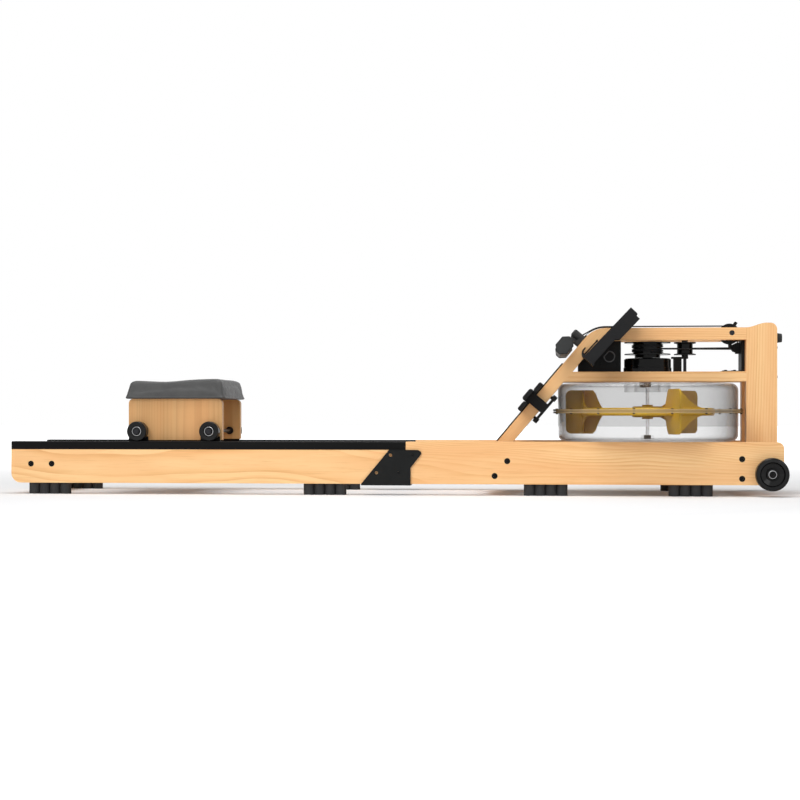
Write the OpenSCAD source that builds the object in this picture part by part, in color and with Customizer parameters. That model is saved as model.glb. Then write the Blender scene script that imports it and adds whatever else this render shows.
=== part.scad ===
// Water rowing machine: a wooden frame in two bolted halves, a seat on four
// rollers, a clear water tank with an impeller, and a rope drive with a handle.
// Lengths are in millimetres. Side outlines are drawn in X and Z and extruded
// along Y. Inside the modules X is counted from the rear end of the rails.

/* [Rails] */
// Length of each rear rail, along its top
rear_rail_l = 1087; // [1000:1:1160]
// Length of each front rail, along its top
front_rail_l = 999; // [970:1:1060]
// Thickness of every rail
rail_t = 36; // [32:1:40]
// Distance between the centre lines of the two rails
rail_spread = 320; // [312:1:340]
// Height of the wood of the rear rail
rear_rail_h = 91.5; // [86:0.5:100]
// Height of the black seat track on the rear rail
track_h = 22; // [18:1:28]
// Radius of the rounded lower corner at the rear end
rear_corner_r = 27; // [10:1:34]
// Radius of the rounded corners at the front end
front_corner_r = 17; // [6:1:24]
// Slope of the joint between the halves: how far its foot lies behind its top
scarf_run = 73; // [60:1:84]

/* [Rubber feet] */
// Height of the feet
foot_h = 30.5; // [24:0.5:36]
// Radius of each of the four cylinders in a foot
foot_r = 14.8; // [14.6:0.1:16]
// Pitch of the cylinders in a foot
foot_pitch = 29; // [27:0.5:29]
// Distance from the rear end to the middle of the first pair of feet
foot_1_x = 104; // [90:1:140]
// Distance from the joint of the rails back to the second pair of feet
foot_2_back = 221; // [190:1:260]
// Distance from the joint of the rails to the third pair of feet
foot_3_at = 374; // [340:1:410]
// Distance from the front end of the rails back to the fourth pair of feet
foot_4_back = 242; // [215:1:280]

/* [Splice plates] */
// Thickness of the steel saddle at the joint of the rails
saddle_t = 4; // [3:0.5:5]
// Radius of the holes in the saddle
saddle_hole_r = 4.3; // [3.5:0.1:5]

/* [Cross boards and bolts] */
// Thickness of the boards between the rails
board_t = 46; // [40:1:50]
// Width of the tilted and the front board
board_w = 72; // [68:1:76]
// Width of the rear board
rear_board_w = 90; // [84:1:110]
// Distance from the rear end to the middle of the rear board
rear_board_x = 84; // [80:1:120]
// Distance between the two bolts at each end of the tilted and the front board
board_bolt_pitch = 52; // [44:1:52]
// Distance between the two bolts at each end of the rear board
rear_bolt_pitch = 58; // [50:1:60]
// Radius of the bolt shanks
bolt_r = 4; // [3:0.5:5]
// Radius of the bolt heads
bolt_head_r = 8; // [7:0.5:9]
// Height of the bolt heads
bolt_head_h = 7; // [5:0.5:8]

/* [Upper frame] */
// Width of the upper frame over the two beams
upper_w = 146; // [140:1:156]
// Thickness of the posts and beams of the upper frame
upper_t = 36; // [32:1:36]
// Distance from the front end of the rails back to the rear face of the posts
post_back = 86; // [84:1:96]
// Width of the posts, seen from the side
post_w = 82; // [70:1:84]
// Height of the posts' tops above the floor
post_top = 465; // [458:1:480]
// Radius of the rounded corner on each post
post_corner_r = 19; // [10:1:24]
// Height of the top beams' upper face above the floor
beam_top = 452.5; // [450:0.5:456]
// Depth of the top and sloped beams, seen from the side
beam_h = 33; // [30:1:34]
// Outer radius of the bend between the sloped and the top beams
bend_r = 75; // [65:1:85]
// Angle of the sloped beams to the floor
slope_a = 49.75; // [49:0.25:50.5]
// Distance from the tank's flange back to the foot of the sloped beams
slope_back = 151.5; // [148:0.5:158]
// Height of the deck's upper face above the floor
deck_top = 333.5; // [332:0.5:336]
// Depth of the deck beams
deck_h = 27; // [22:1:28]
// Thickness of the board between the deck beams
deck_board_t = 15; // [10:1:20]
// Thickness of the black sheet on the sloped beams
sheet_t = 3.7; // [2:0.1:4]
// Length of the black sheet up the sloped beams
sheet_l = 277; // [240:1:285]

/* [Foot slider] */
// Length of the slider's clamp along the sloped beams
clamp_l = 30; // [24:1:34]
// Distance from the foot of the sloped beams to the slider's middle
clamp_s = 151; // [140:1:152]
// Thickness of the clamp's side bands
band_t = 9; // [6:1:12]
// Overall width of the foot rests
rest_w = 300; // [240:1:320]
// Height of the upper and lower foot pads
pad_h = 11; // [8:1:12]
// Length of the upper and lower foot pads along the slope
pad_l = 29; // [22:1:30]
// Thickness of the padded roll in front
roll_t = 11; // [8:1:13]
// Length of the padded roll along the slope
roll_l = 37; // [30:1:40]
// Length of the clamp plate behind the beams
plate_l = 86; // [70:1:88]
// Thickness of the clamp plate
plate_t = 7; // [5:0.5:8]

/* [Handle] */
// Overall length of the handle
handle_l = 290; // [220:1:400]
// Length of the end caps, along the slope
cap_l = 54; // [48:1:56]
// Width of the end caps, square to the slope
cap_w = 40; // [36:1:42]
// Thickness of the end caps
cap_t = 14; // [8:1:20]
// How far the grip is smaller than its caps, all round
grip_inset = 2; // [1:0.5:5]
// Distance from the foot of the sloped beams to the handle's middle
handle_s = 315.3; // [308:0.1:316]
// Distance from the sloped beams to the handle's middle
handle_n = 27.8; // [27:0.1:34]
// Radius of the rubber pegs that stop the handle
peg_r = 11; // [8:0.5:14]
// Height of the rubber pegs
peg_h = 36; // [28:1:42]

/* [Rope drive] */
// Radius of the drive rope
rope_r = 1.8; // [1.5:0.1:2.2]
// Clear space between the rope and the top beams
rope_gap = 5.7; // [4.5:0.1:7]
// Radius of the idler's groove
idler_r = 20; // [17:0.5:22]
// Radius of the idler's flanges
idler_flange_r = 28.5; // [26:0.5:30]
// Distance from the posts back to the idler's axle
idler_back = 38; // [36:1:50]
// Radius of the drum that the rope winds on
drum_r = 39.5; // [34:0.5:44]
// Radius of the drum's flanges
drum_flange_r = 63; // [58:1:64]
// Clear height between the drum's flanges
drum_h = 29; // [24:1:31]
// Radius of the clutch housing
clutch_r = 64; // [58:1:66]
// Height of the clutch housing
clutch_h = 37.5; // [32:0.5:38]
// Distance from the tank axis to the recoil pulley
recoil_dx = 103; // [98:1:106]
// Distance from the middle of the machine to the recoil pulley
recoil_y = 14; // [12:1:20]
// Radius of the recoil pulley's groove
recoil_r = 21.5; // [18:0.5:24]
// Radius of the recoil pulley's flanges
recoil_flange_r = 30; // [26:0.5:31]

/* [Device holder] */
// Angle of the holder to the floor
holder_a = 46.4; // [44:0.1:50]
// Length of the holder
holder_l = 172; // [150:1:176]
// Thickness of the holder at its top
holder_t = 26.5; // [22:0.5:28]
// Width of the holder, outwards from the beam
holder_w = 96; // [80:1:110]
// Thickness of the plate behind the holder
backing_t = 12; // [8:1:14]

/* [Tank] */
// Outer radius of the tank
tank_r = 245.5; // [238:0.5:248]
// Width of the tank's flange, outwards from its wall
tank_flange_w = 14; // [13:0.5:18]
// Clear space between the tank's flange and the posts
tank_gap = 0.5; // [0.5:0.5:4]
// Thickness of the tank's wall
tank_wall = 3.5; // [2.5:0.5:4.5]
// Height of the tank
tank_h = 158; // [150:1:159]
// Radius of the tank's upper and lower edges
tank_edge_r = 19; // [12:1:24]
// Thickness of each flange
flange_t = 5.5; // [4:0.5:6]
// Number of screws round the flange
flange_screws_n = 16; // [12:1:20]
// Radius of the drive shaft
shaft_r = 5; // [4:0.5:7]
// Outer radius of the impeller's paddles
paddle_r = 228; // [200:1:232]
// Height of the paddles
paddle_h = 121; // [100:1:122]
// Length of each paddle, from its inner to its outer edge
paddle_l = 84; // [70:1:110]
// Number of paddles
paddles_n = 3; // [3:1:4]
// Radius of the impeller's disc
disc_r = 182; // [150:1:190]

/* [Seat] */
// Distance from the rear end to the middle of the seat
seat_x = 449; // [400:1:500]
// Length of the cushion along the rails
cushion_l = 281; // [260:1:300]
// Width of the cushion across the rails
cushion_w = 310; // [296:1:320]
// Height of the cushion at its two crests
cushion_h = 55; // [45:1:65]
// Depth of the dip in the middle of the cushion
cushion_dip = 6; // [3:0.5:12]
// Length of the wooden side panels
panel_l = 260; // [255:1:270]
// Thickness of the wooden side panels
panel_t = 22; // [16:1:24]
// Height of the side panels
panel_h = 113; // [106:1:122]
// Distance between the front and rear roller axles
axle_pitch = 200; // [190:1:206]
// Radius of the seat rollers
roller_r = 27; // [26:0.5:30]
// Width of the seat rollers
roller_w = 30; // [24:1:32]
// Radius of the bearings in rollers and wheels
bearing_r = 13; // [11:0.5:14]
// Radius of the roller axles
axle_r = 5; // [4:0.5:6]

/* [Transport wheels] */
// Radius of the transport wheels
wheel_r = 43.7; // [40:0.1:46]
// Width of the transport wheels
wheel_w = 28; // [22:1:32]
// Distance from the front end of the rails back to the wheel axles
wheel_back = 33.7; // [31:0.1:38]
// Height of the wheel axles above the floor
wheel_z = 59.5; // [56:0.5:64]

/* [Hidden] */
$fn = 48;

// Clearance of a hole round a fixed bolt or pin
fit = 0.1;
// Clearance of a bore round a turning shaft
run = 0.05;
// Gap between pieces of different bodies that nearly touch
gap = 0.3;

rail_z1 = foot_h + rear_rail_h;
rail_top = rail_z1 + track_h;
rails_l = rear_rail_l + front_rail_l;
foot_2_x = rear_rail_l - foot_2_back;
foot_3_x = rear_rail_l + foot_3_at;
foot_4_x = rails_l - foot_4_back;
post_x = rails_l - post_back;
idler_x = post_x - idler_back;
wheel_x = rails_l - wheel_back;
tank_flange_r = tank_r + tank_flange_w;
tank_x = post_x - tank_gap - tank_flange_r;
slope_x = tank_x - tank_flange_r - slope_back;
rail_in = rail_spread / 2 - rail_t / 2;
rail_out = rail_spread / 2 + rail_t / 2;
machine_l = max(wheel_x + wheel_r, rails_l);
upper_out = upper_w / 2;
upper_in = upper_w / 2 - upper_t;
low_bolt_z = (foot_h + rail_top) / 2 - 14.25;
rear_bolt_z = foot_h + 52;
foot_xs = [foot_1_x, foot_2_x, foot_3_x, foot_4_x];

// The sloped beams have their own coordinates: s runs up along the outer face
// from the level of the rails' tops, and n stands out from that face.
function slope_pt(s, n) = [
    slope_x + s * cos(slope_a) - n * sin(slope_a),
    rail_top + s * sin(slope_a) + n * cos(slope_a)];
bend_z = beam_top - bend_r;
bend_s = (bend_z - rail_top + bend_r * cos(slope_a)) / sin(slope_a);
bend_x = slope_pt(bend_s, -bend_r)[0];
tilt_s = -46;
tilt_n = -beam_h - board_t / 2;
tilt_c = slope_pt(tilt_s, tilt_n);
front_board_x = post_x - board_t / 2;
front_board_z = low_bolt_z + 0.3;
peg_s = handle_s + cap_l / 2 + gap + 8 + peg_r;

rope_n = rope_gap + rope_r;
// A cord is drawn with eight sides, so its corners stand a little out of its radius
cord_sides = 8;
rope_lie = rope_r / cos(180 / cord_sides) + 0.1;
rope_top_z = beam_top + rope_n;
idler_z = rope_top_z - idler_r - rope_lie;
idler_w = 12;
pin_r = 6;
run_z = 396.4;
drum_z0 = run_z - 12.4 - 3;
drum_z1 = drum_z0 + 6 + drum_h;
recoil_x = tank_x + recoil_dx;
channel_x = post_x - 9;
channel_t = 3;
guide_x = idler_x + idler_r - pin_r;

tank_z0 = rail_top;
tank_mid = tank_z0 + 82;
tank_z1 = tank_z0 + tank_h;
disc_z = tank_mid - 1.5;
hub_r = 42;
bush_r = 10;

holder_y = upper_out + 3;
holder_px = bend_x + 9;
holder_pz = beam_top - 21.5;
holder_u0 = -84.3;
holder_v0 = -10.8;
function holder_pt(u, v) = [
    holder_px + u * cos(holder_a) + v * sin(holder_a),
    holder_pz + u * sin(holder_a) - v * cos(holder_a)];

panel_z0 = rail_top + 3.3;
panel_out = rail_in - 1;
cushion_z0 = panel_z0 + panel_h;
axle_z = rail_top + roller_r + gap;
roller_y0 = panel_out + 4.5;
wheel_y0 = rail_out + 6;

// Points on an arc from angle a0 to a1
function arc(cx, cz, r, a0, a1, n = 10) = [for (i = [0:n])
    let (a = a0 + (a1 - a0) * i / n) [cx + r * cos(a), cz + r * sin(a)]];
// Mirror copies share one shape: the far piece is the near one turned over
module far() mirror([0, 1, 0]) children();
module both() {
    children();
    mirror([0, 1, 0]) children();
}
// Moves a piece from the rear end to the middle of the machine
module placed() translate([-machine_l / 2, 0, 0]) children();
// Extrudes a side outline from y0 to y1
module side(y0, y1) translate([0, y1, 0]) rotate([90, 0, 0]) linear_extrude(y1 - y0) children();
// A round bar along Y at x and z, from y0 to y1
module bar_y(x, z, r, y0, y1) translate([x, y1, z]) rotate([90, 0, 0]) cylinder(r = r, h = y1 - y0);
// A box given by its two corners
module block(a, b) translate(a) cube(b - a);

module rail_bolt_holes(x, z) {
    bar_y(x, z, bolt_r + fit, -rail_out - 1, -rail_in + 1);
    bar_y(x, z, bolt_head_r + fit, -rail_out - 1, -rail_out + bolt_head_h);
}
module board_bolt_holes(x, z) {
    both() bar_y(x, z, bolt_r + fit, -rail_in - 1, -rail_in + 36);
}
rear_bolts = [[rear_board_x - rear_bolt_pitch / 2, rear_bolt_z],
    [rear_board_x + rear_bolt_pitch / 2, rear_bolt_z]];
half_pitch = board_bolt_pitch / 2;
tilt_bolts = [tilt_c - half_pitch * [cos(slope_a), sin(slope_a)],
    tilt_c + half_pitch * [cos(slope_a), sin(slope_a)]];
front_bolts = [[front_board_x, front_board_z - half_pitch],
    [front_board_x, front_board_z + half_pitch]];

// The saddle's holes, beside the slanted joint of the rails
scarf_k = scarf_run / rear_rail_h;
function scarf_x(z) = rear_rail_l - (rail_z1 - z) * scarf_k;
saddle_hole_dx = 30;
saddle_hole_zs = [rail_z1 - 14, rail_z1 - 61.5];
module saddle_holes(y0, y1, r, sides = [-1, 1])
    for (z = saddle_hole_zs, k = sides) bar_y(scarf_x(z) + k * saddle_hole_dx, z, r, y0, y1);

module rear_rail() side(-rail_out, -rail_in) polygon(concat(
    [[0, rail_z1]],
    arc(rear_corner_r, foot_h + rear_corner_r, rear_corner_r, 180, 270),
    [[scarf_x(foot_h), foot_h], [rear_rail_l, rail_z1]]));
module rear_rail_near() color("burlywood") placed() difference() {
    rear_rail();
    for (p = rear_bolts) rail_bolt_holes(p[0], p[1]);
    saddle_holes(-rail_out - 1, -rail_out + 14, 2 + fit);
}
module rear_rail_far() color("burlywood") far() rear_rail_near();

module front_rail() side(-rail_out, -rail_in) polygon(concat(
    [[rear_rail_l, rail_top], [rear_rail_l, rail_z1], [scarf_x(foot_h), foot_h]],
    arc(rails_l - front_corner_r, foot_h + front_corner_r, front_corner_r, -90, 0),
    arc(rails_l - front_corner_r, rail_top - front_corner_r, front_corner_r, 0, 90)));
module front_rail_near() color("burlywood") placed() difference() {
    front_rail();
    for (p = concat(tilt_bolts, front_bolts)) rail_bolt_holes(p[0], p[1]);
    saddle_holes(-rail_out - 1, -rail_out + 14, 2 + fit);
    bar_y(wheel_x, wheel_z, axle_r + fit, -rail_out - 1, -rail_in + 1);
}
module front_rail_far() color("burlywood") far() front_rail_near();

// The tracks cap the rear rails and carry the rollers
track_edge = 2;
module track_section() polygon([[-rail_out, rail_z1], [-rail_in, rail_z1],
    [-rail_in, rail_top - track_edge], [-rail_in - track_edge, rail_top],
    [-rail_out + track_edge, rail_top], [-rail_out, rail_top - track_edge]]);
module seat_tracks() color([0.1, 0.1, 0.1]) placed() both()
    rotate([90, 0, 90]) linear_extrude(rear_rail_l) track_section();

// Steel saddles hold the two halves of each rail together, from both sides
// and from below; screws sit in the two holes on the front side of the joint.
saddle_x0 = scarf_x(foot_h) - 47.5;
module saddle_outline() polygon([
    [rear_rail_l - 45, rail_z1], [rear_rail_l + 33, rail_z1],
    [rear_rail_l + 41, rail_z1 - 5], [rear_rail_l + 42, rail_z1 - 11],
    [rear_rail_l + 13, rail_z1 - 48], [rear_rail_l + 13, foot_h - saddle_t],
    [saddle_x0, foot_h - saddle_t], [saddle_x0, foot_h]]);
module splice_plates() color([0.1, 0.1, 0.1]) placed() both() {
    difference() {
        union() {
            side(-rail_out - saddle_t, -rail_out) saddle_outline();
            side(-rail_in, -rail_in + saddle_t) saddle_outline();
            block([saddle_x0, -rail_out, foot_h - saddle_t],
                [rear_rail_l + 13, -rail_in, foot_h]);
        }
        saddle_holes(-rail_out - saddle_t - 1, -rail_in + saddle_t + 1, saddle_hole_r);
    }
}

module rear_cross_board() color("burlywood") placed() difference() {
    block([rear_board_x - rear_board_w / 2, -rail_in, rear_bolt_z - board_t / 2],
        [rear_board_x + rear_board_w / 2, rail_in, rear_bolt_z + board_t / 2]);
    for (p = rear_bolts) board_bolt_holes(p[0], p[1]);
}
module tilted_cross_board() color("burlywood") placed() difference() {
    side(-rail_in, rail_in) polygon([for (k = [[-1, -1], [1, -1], [1, 1], [-1, 1]])
        slope_pt(tilt_s + k[0] * board_w / 2, tilt_n + k[1] * board_t / 2)]);
    for (p = tilt_bolts) board_bolt_holes(p[0], p[1]);
}
module front_cross_board() color("burlywood") placed() difference() {
    block([front_board_x - board_t / 2, -rail_in, front_board_z - board_w / 2],
        [front_board_x + board_t / 2, rail_in, front_board_z + board_w / 2]);
    for (p = front_bolts) board_bolt_holes(p[0], p[1]);
}

// Socket head bolt, its head let into the outer face of the rail
module socket_bolt(x, z, y0, l) difference() {
    union() {
        bar_y(x, z, bolt_r, y0 + 1, y0 + bolt_head_h + l);
        bar_y(x, z, bolt_head_r, y0, -rail_out + bolt_head_h);
    }
    translate([x, y0 + 4, z]) rotate([90, 0, 0]) cylinder(r = 4, h = 5, $fn = 6);
}
module saddle_screw(x, z) {
    bar_y(x, z, saddle_hole_r - fit, -rail_out - 1.5, -rail_out);
    bar_y(x, z, 2, -rail_out, -rail_out + 13);
}
post_screw_zs = [319, 398];
module post_screw(z) translate([post_x + post_w, -upper_out + upper_t / 2, z]) rotate([0, 90, 0]) {
    translate([0, 0, -19]) cylinder(r = 2, h = 19.5);
    cylinder(r1 = 5, r2 = 3.2, h = 3);
}
module frame_bolts() color([0.08, 0.08, 0.08]) placed() both() {
    for (p = concat(rear_bolts, tilt_bolts, front_bolts))
        socket_bolt(p[0], p[1], -rail_out + 0.5, 60);
    for (z = saddle_hole_zs) saddle_screw(scarf_x(z) + saddle_hole_dx, z);
    for (z = post_screw_zs) post_screw(z);
}

module rubber_feet() color([0.2, 0.2, 0.2]) placed() both()
    for (x = foot_xs) union() for (i = [-1.5:1:1.5])
        translate([x + i * foot_pitch, -rail_spread / 2, 0]) cylinder(r = foot_r, h = foot_h);

// Rubber blocks inside the rails that stop the seat's guards
stop_x = [8, rear_rail_l - 26];
module seat_stops() color([0.15, 0.15, 0.15]) placed() both() for (x = stop_x)
    block([x, -rail_in, rail_top - 16], [x + 18, -rail_in + 16, rail_top - 4]);

// Posts with an ogee shoulder behind and a rounded corner in front
shoulder_w = 54;
function smooth(t) = t * t * (3 - 2 * t);
module post() side(-upper_out, -upper_in) polygon(concat(
    [for (i = [0:8]) [post_x + shoulder_w * i / 8, beam_top + (post_top - beam_top) * smooth(i / 8)]],
    arc(post_x + post_w - post_corner_r, post_top - post_corner_r, post_corner_r, 80, 0),
    [[post_x + post_w, foot_h + 5], [post_x, foot_h + 5]]));
bumper_z = 424;
module post_near() color("burlywood") placed() difference() {
    post();
    translate([post_x + post_w - 20, -upper_out + upper_t / 2, bumper_z])
        rotate([0, 90, 0]) cylinder(r = 3 + fit, h = 21);
    for (z = post_screw_zs) translate([post_x + post_w - 20, -upper_out + upper_t / 2, z])
        rotate([0, 90, 0]) cylinder(r = 2 + fit, h = 21);
}
module post_far() color("burlywood") far() post_near();

// Sloped beam with its bent head
module sloped_beam() side(-upper_out, -upper_in) polygon(concat(
    [slope_pt(tilt_s - board_w / 2, -beam_h), slope_pt(tilt_s - board_w / 2, 0)],
    arc(bend_x, bend_z, bend_r, 90 + slope_a, 90),
    arc(bend_x, bend_z, bend_r - beam_h, 90, 90 + slope_a)));
module sloped_beam_near() color("burlywood") placed() difference() {
    sloped_beam();
    guide_bar_holes();
}
module sloped_beam_far() color("burlywood") far() sloped_beam_near();
module top_beams() color("burlywood") placed() difference() {
    both() difference() {
        side(-upper_out, -upper_in) polygon([[bend_x, beam_top - beam_h],
            [post_x, beam_top - beam_h], [post_x, beam_top], [bend_x, beam_top]]);
        guide_bar_holes();
        bar_y(idler_x, idler_z, axle_r + fit, -upper_out - 1, -upper_in + 1);
        bar_y(idler_x, idler_z, 7 + fit, -upper_out - 1, -upper_out + 5);
    }
    bar_y(holder_px, holder_pz, axle_r + fit, -upper_out - 1, -upper_out + 30);
}
// The deck beams run from the sloped beams to the posts
function slope_in_x(z) = slope_x + (z - rail_top) / tan(slope_a) + beam_h / sin(slope_a);
module deck_beams() color("burlywood") placed() both()
    side(-upper_out, -upper_in) polygon([
        [slope_in_x(deck_top - deck_h), deck_top - deck_h], [post_x, deck_top - deck_h],
        [post_x, deck_top], [slope_in_x(deck_top), deck_top]]);
module deck_board() color("burlywood") placed() difference() {
    block([slope_in_x(deck_top) + 10, -upper_in, deck_top - deck_board_t],
        [post_x, upper_in, deck_top]);
    translate([tank_x, 0, deck_top - deck_board_t - 1])
        cylinder(r = shaft_r + 4, h = deck_board_t + 2);
    translate([recoil_x, recoil_y, deck_top - deck_board_t - 1])
        cylinder(r = 4.5 + fit, h = deck_board_t + 2);
}

// Rubber bumpers: with the wheels they carry the machine when it stands upright
bumper_l = machine_l - post_x - post_w;
module storage_bumpers() color([0.15, 0.15, 0.15]) placed() both()
    translate([post_x + post_w, -upper_out + upper_t / 2, bumper_z]) rotate([0, 90, 0]) {
        cylinder(r1 = 13.5, r2 = 11.5, h = bumper_l, $fn = 32);
        translate([0, 0, -18]) cylinder(r = 3, h = 18.5);
    }

// A bent steel strip carries the rope over the bend, on two cross bars
strip_t = 1.5;
strip_r = bend_r + rope_gap;
guide_end = 40;
guide_bar_r = 5;
guide_bar_at = bend_r - 12;
guide_bar_a = 84 + slope_a;
guide_bars = [[bend_x + guide_bar_at * cos(guide_bar_a), bend_z + guide_bar_at * sin(guide_bar_a)],
    [bend_x + guide_end - 8, bend_z + guide_bar_at]];
module guide_bar_holes() for (p = guide_bars)
    bar_y(p[0], p[1], guide_bar_r + fit, -upper_in - 12, -upper_in + 1);
module rope_guide() color([0.15, 0.15, 0.15]) placed() {
    side(-6, 6) polygon(concat(
        arc(bend_x, bend_z, strip_r, 88 + slope_a, 90, 14), [[bend_x + guide_end, bend_z + strip_r],
        [bend_x + guide_end, bend_z + strip_r - strip_t]],
        arc(bend_x, bend_z, strip_r - strip_t, 90, 88 + slope_a, 14)));
    for (p = guide_bars) bar_y(p[0], p[1], guide_bar_r, -upper_in - 11, upper_in + 11);
    web = strip_r - strip_t - guide_bar_at - guide_bar_r + 1.5;
    side(-5, 5) polygon([for (k = [[0, -3], [0, 3], [1, 3], [1, -3]])
        let (r = guide_bar_at + guide_bar_r - 1 + k[0] * web)
        [bend_x + r * cos(guide_bar_a) - k[1] * sin(guide_bar_a),
            bend_z + r * sin(guide_bar_a) + k[1] * cos(guide_bar_a)]]);
    block([guide_bars[1][0] - 3, -5, guide_bars[1][1] + guide_bar_r - 1],
        [guide_bars[1][0] + 3, 5, bend_z + strip_r - strip_t + 0.5]);
}

// Thin black sheet up the front of the sloped beams
module front_sheet() color([0.1, 0.1, 0.1]) placed() side(-upper_out, upper_out)
    polygon([slope_pt(0, 0), slope_pt(sheet_l, 0), slope_pt(sheet_l, sheet_t), slope_pt(0, sheet_t)]);

// Rubber pegs on small bases hold the handle against the pull of the cord
module handle_rests() color([0.2, 0.2, 0.2]) placed() both()
    translate([0, -upper_out + upper_t / 2, 0]) {
        base = slope_pt(peg_s, 0);
        translate([base[0], 0, base[1]]) rotate([0, -slope_a, 0]) {
            cylinder(r = peg_r, h = peg_h - 4);
            translate([0, 0, peg_h - 4]) cylinder(r1 = peg_r, r2 = peg_r - 3, h = 4, $fn = 32);
        }
        side(-13, 13) polygon([slope_pt(peg_s - peg_r - 8, 0), slope_pt(peg_s, 0),
            slope_pt(peg_s, 10), slope_pt(peg_s - peg_r, 14),
            slope_pt(peg_s - peg_r - 2, handle_n), slope_pt(peg_s - peg_r - 8, handle_n)]);
    }

// Black housing of the controls, between the beams; its sloping face is towards
// the rower and carries a sunk window, its near face a raised half-round frame.
housing_x0 = slope_in_x(deck_top + 20);
housing_x1 = tank_x - drum_flange_r - 11;
housing_top = beam_top - beam_h - 1;
housing_y = upper_in - 0.3;
module knob_outline(r) intersection() {
    circle(r = r);
    rotate(138) translate([-2 * r, -2 * r]) square([2 * r + r * 0.75, 4 * r]);
}
module control_housing() color([0.1, 0.1, 0.1]) placed() {
    knob = [housing_x0 + 85, deck_top + 42.5];
    window = slope_pt(bend_s - 24, -beam_h);
    difference() {
        side(-housing_y, housing_y) polygon([[housing_x0, deck_top], [housing_x1, deck_top],
            [housing_x1, housing_top], [slope_in_x(housing_top), housing_top],
            [housing_x0, deck_top + 20]]);
        translate([window[0], 0, window[1]]) rotate([0, -slope_a, 0])
            translate([-24, -26, -1.5]) cube([48, 52, 5]);
        for (x = [61, 105]) both()
            bar_y(housing_x0 + x, deck_top + 23, 2, -housing_y - 1, -housing_y + 6);
    }
    translate([knob[0], -housing_y, knob[1]]) rotate([90, 0, 0]) difference() {
        linear_extrude(3) knob_outline(16);
        translate([0, 0, 1]) linear_extrude(3) knob_outline(12.5);
    }
}

// Idler axle with spacers, recoil pulley axle, and the pin of the device holder
idler_half = idler_w / 2 + gap;
recoil_axle_r = 4.5;
recoil_top = drum_z1 + gap;
pin_l = 44;
module pulley_axles() color([0.25, 0.25, 0.25]) placed() {
    bar_y(idler_x, idler_z, axle_r, -upper_out + 1, upper_out - 1);
    both() {
        bar_y(idler_x, idler_z, 7, -upper_out + 1, -upper_out + 5);
        bar_y(idler_x, idler_z, 8, -upper_in, -idler_half);
    }
    translate([recoil_x, recoil_y, deck_top - deck_board_t])
        cylinder(r = recoil_axle_r, h = recoil_top + 8 - deck_top + deck_board_t);
    translate([recoil_x, recoil_y, recoil_top + 1]) cylinder(r = 8, h = 5.5, $fn = 6);
    bar_y(holder_px, holder_pz, axle_r, -holder_y - pin_l, -upper_out + 29);
    bar_y(holder_px, holder_pz, 11, -holder_y + gap, -upper_out);
}

// Steel channel between the posts, on a foot on the deck
channel_y = upper_in - 0.2;
channel_top = beam_top - 30;
module guide_bracket() color([0.12, 0.12, 0.12]) placed() {
    block([post_x - 59, -channel_y, deck_top], [channel_x + channel_t, channel_y, deck_top + channel_t]);
    block([channel_x, -channel_y, deck_top + channel_t], [channel_x + channel_t, channel_y, channel_top]);
    both() block([channel_x + channel_t, -channel_y, deck_top],
        [post_x + 30, -channel_y + channel_t, channel_top]);
    for (x = [post_x - 50, post_x - 26], y = [-24, 24])
        translate([x, y, deck_top + channel_t]) cylinder(r = 4, h = 2.5, $fn = 24);
}

// Guide with two cheeks and a pin, where the rope turns towards the drum
cheek_y = 4.5;
pin_z = run_z + rope_lie + pin_r;
module cord_guide() color([0.1, 0.1, 0.1]) placed() {
    both() side(-cheek_y - 4, -cheek_y) polygon([[channel_x, run_z - 13], [channel_x, pin_z + 9],
        [guide_x + 4, pin_z + 9], [guide_x - 6, pin_z + 4], [guide_x - 8, run_z - 2],
        [guide_x - 4, run_z - 7]]);
    bar_y(guide_x, pin_z, pin_r, -cheek_y, cheek_y);
    block([guide_x + 2, -cheek_y, run_z - 13], [channel_x, cheek_y, run_z - 9]);
    translate([channel_x, cord_anchor_y, cord_z]) rotate([0, -90, 0]) difference() {
        cylinder(r = 5.5, h = 9);
        translate([0, 0, 4.7]) cylinder(r = rope_r + 0.4, h = 5);
    }
}

// Bracket round the idler; its pins keep the rope in the groove
keeper_r = 34;
keeper_as = [60, -86];
module rope_keeper() color([0.15, 0.15, 0.15]) placed() translate([idler_x, 0, idler_z]) {
    both() difference() {
        union() {
            bar_y(0, 0, 12, -idler_half - 4, -idler_half - 1);
            for (a = keeper_as) translate([0, -idler_half - 1, 0]) rotate([90, 0, 0]) rotate(a)
                translate([0, -4, 0]) cube([keeper_r + 3, 8, 3]);
        }
        bar_y(0, 0, 8 + fit, -idler_half - 5, -idler_half);
    }
    for (a = keeper_as) bar_y(keeper_r * cos(a), keeper_r * sin(a), 3, -idler_half - 1, idler_half + 1);
}

// Housing of the clutch on the deck, round the shaft
clutch_top = deck_top + clutch_h;
module clutch_housing() color([0.08, 0.08, 0.08]) placed() translate([tank_x, 0, deck_top])
    rotate_extrude($fn = 96) polygon([[bush_r + fit, clutch_h - 12], [bush_r + fit, clutch_h],
        [clutch_r - 3, clutch_h], [clutch_r, clutch_h - 3], [clutch_r, 13], [clutch_r + 1.5, 12],
        [clutch_r + 1.5, 0], [clutch_r - 4, 0], [clutch_r - 4, clutch_h - 4], [22, clutch_h - 4],
        [22, clutch_h - 12]]);

bracket_top = clutch_top + 5;
module recoil_bracket() color([0.1, 0.1, 0.1]) placed() difference() {
    union() {
        block([recoil_x - 31, recoil_y - 16, deck_top], [recoil_x - 10, recoil_y + 16, clutch_top]);
        block([tank_x + clutch_r + 2, recoil_y - 16, clutch_top],
            [recoil_x + 8, recoil_y + 16, bracket_top]);
    }
    translate([recoil_x, recoil_y, clutch_top - 1]) cylinder(r = recoil_axle_r + fit, h = 7);
}

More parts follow.
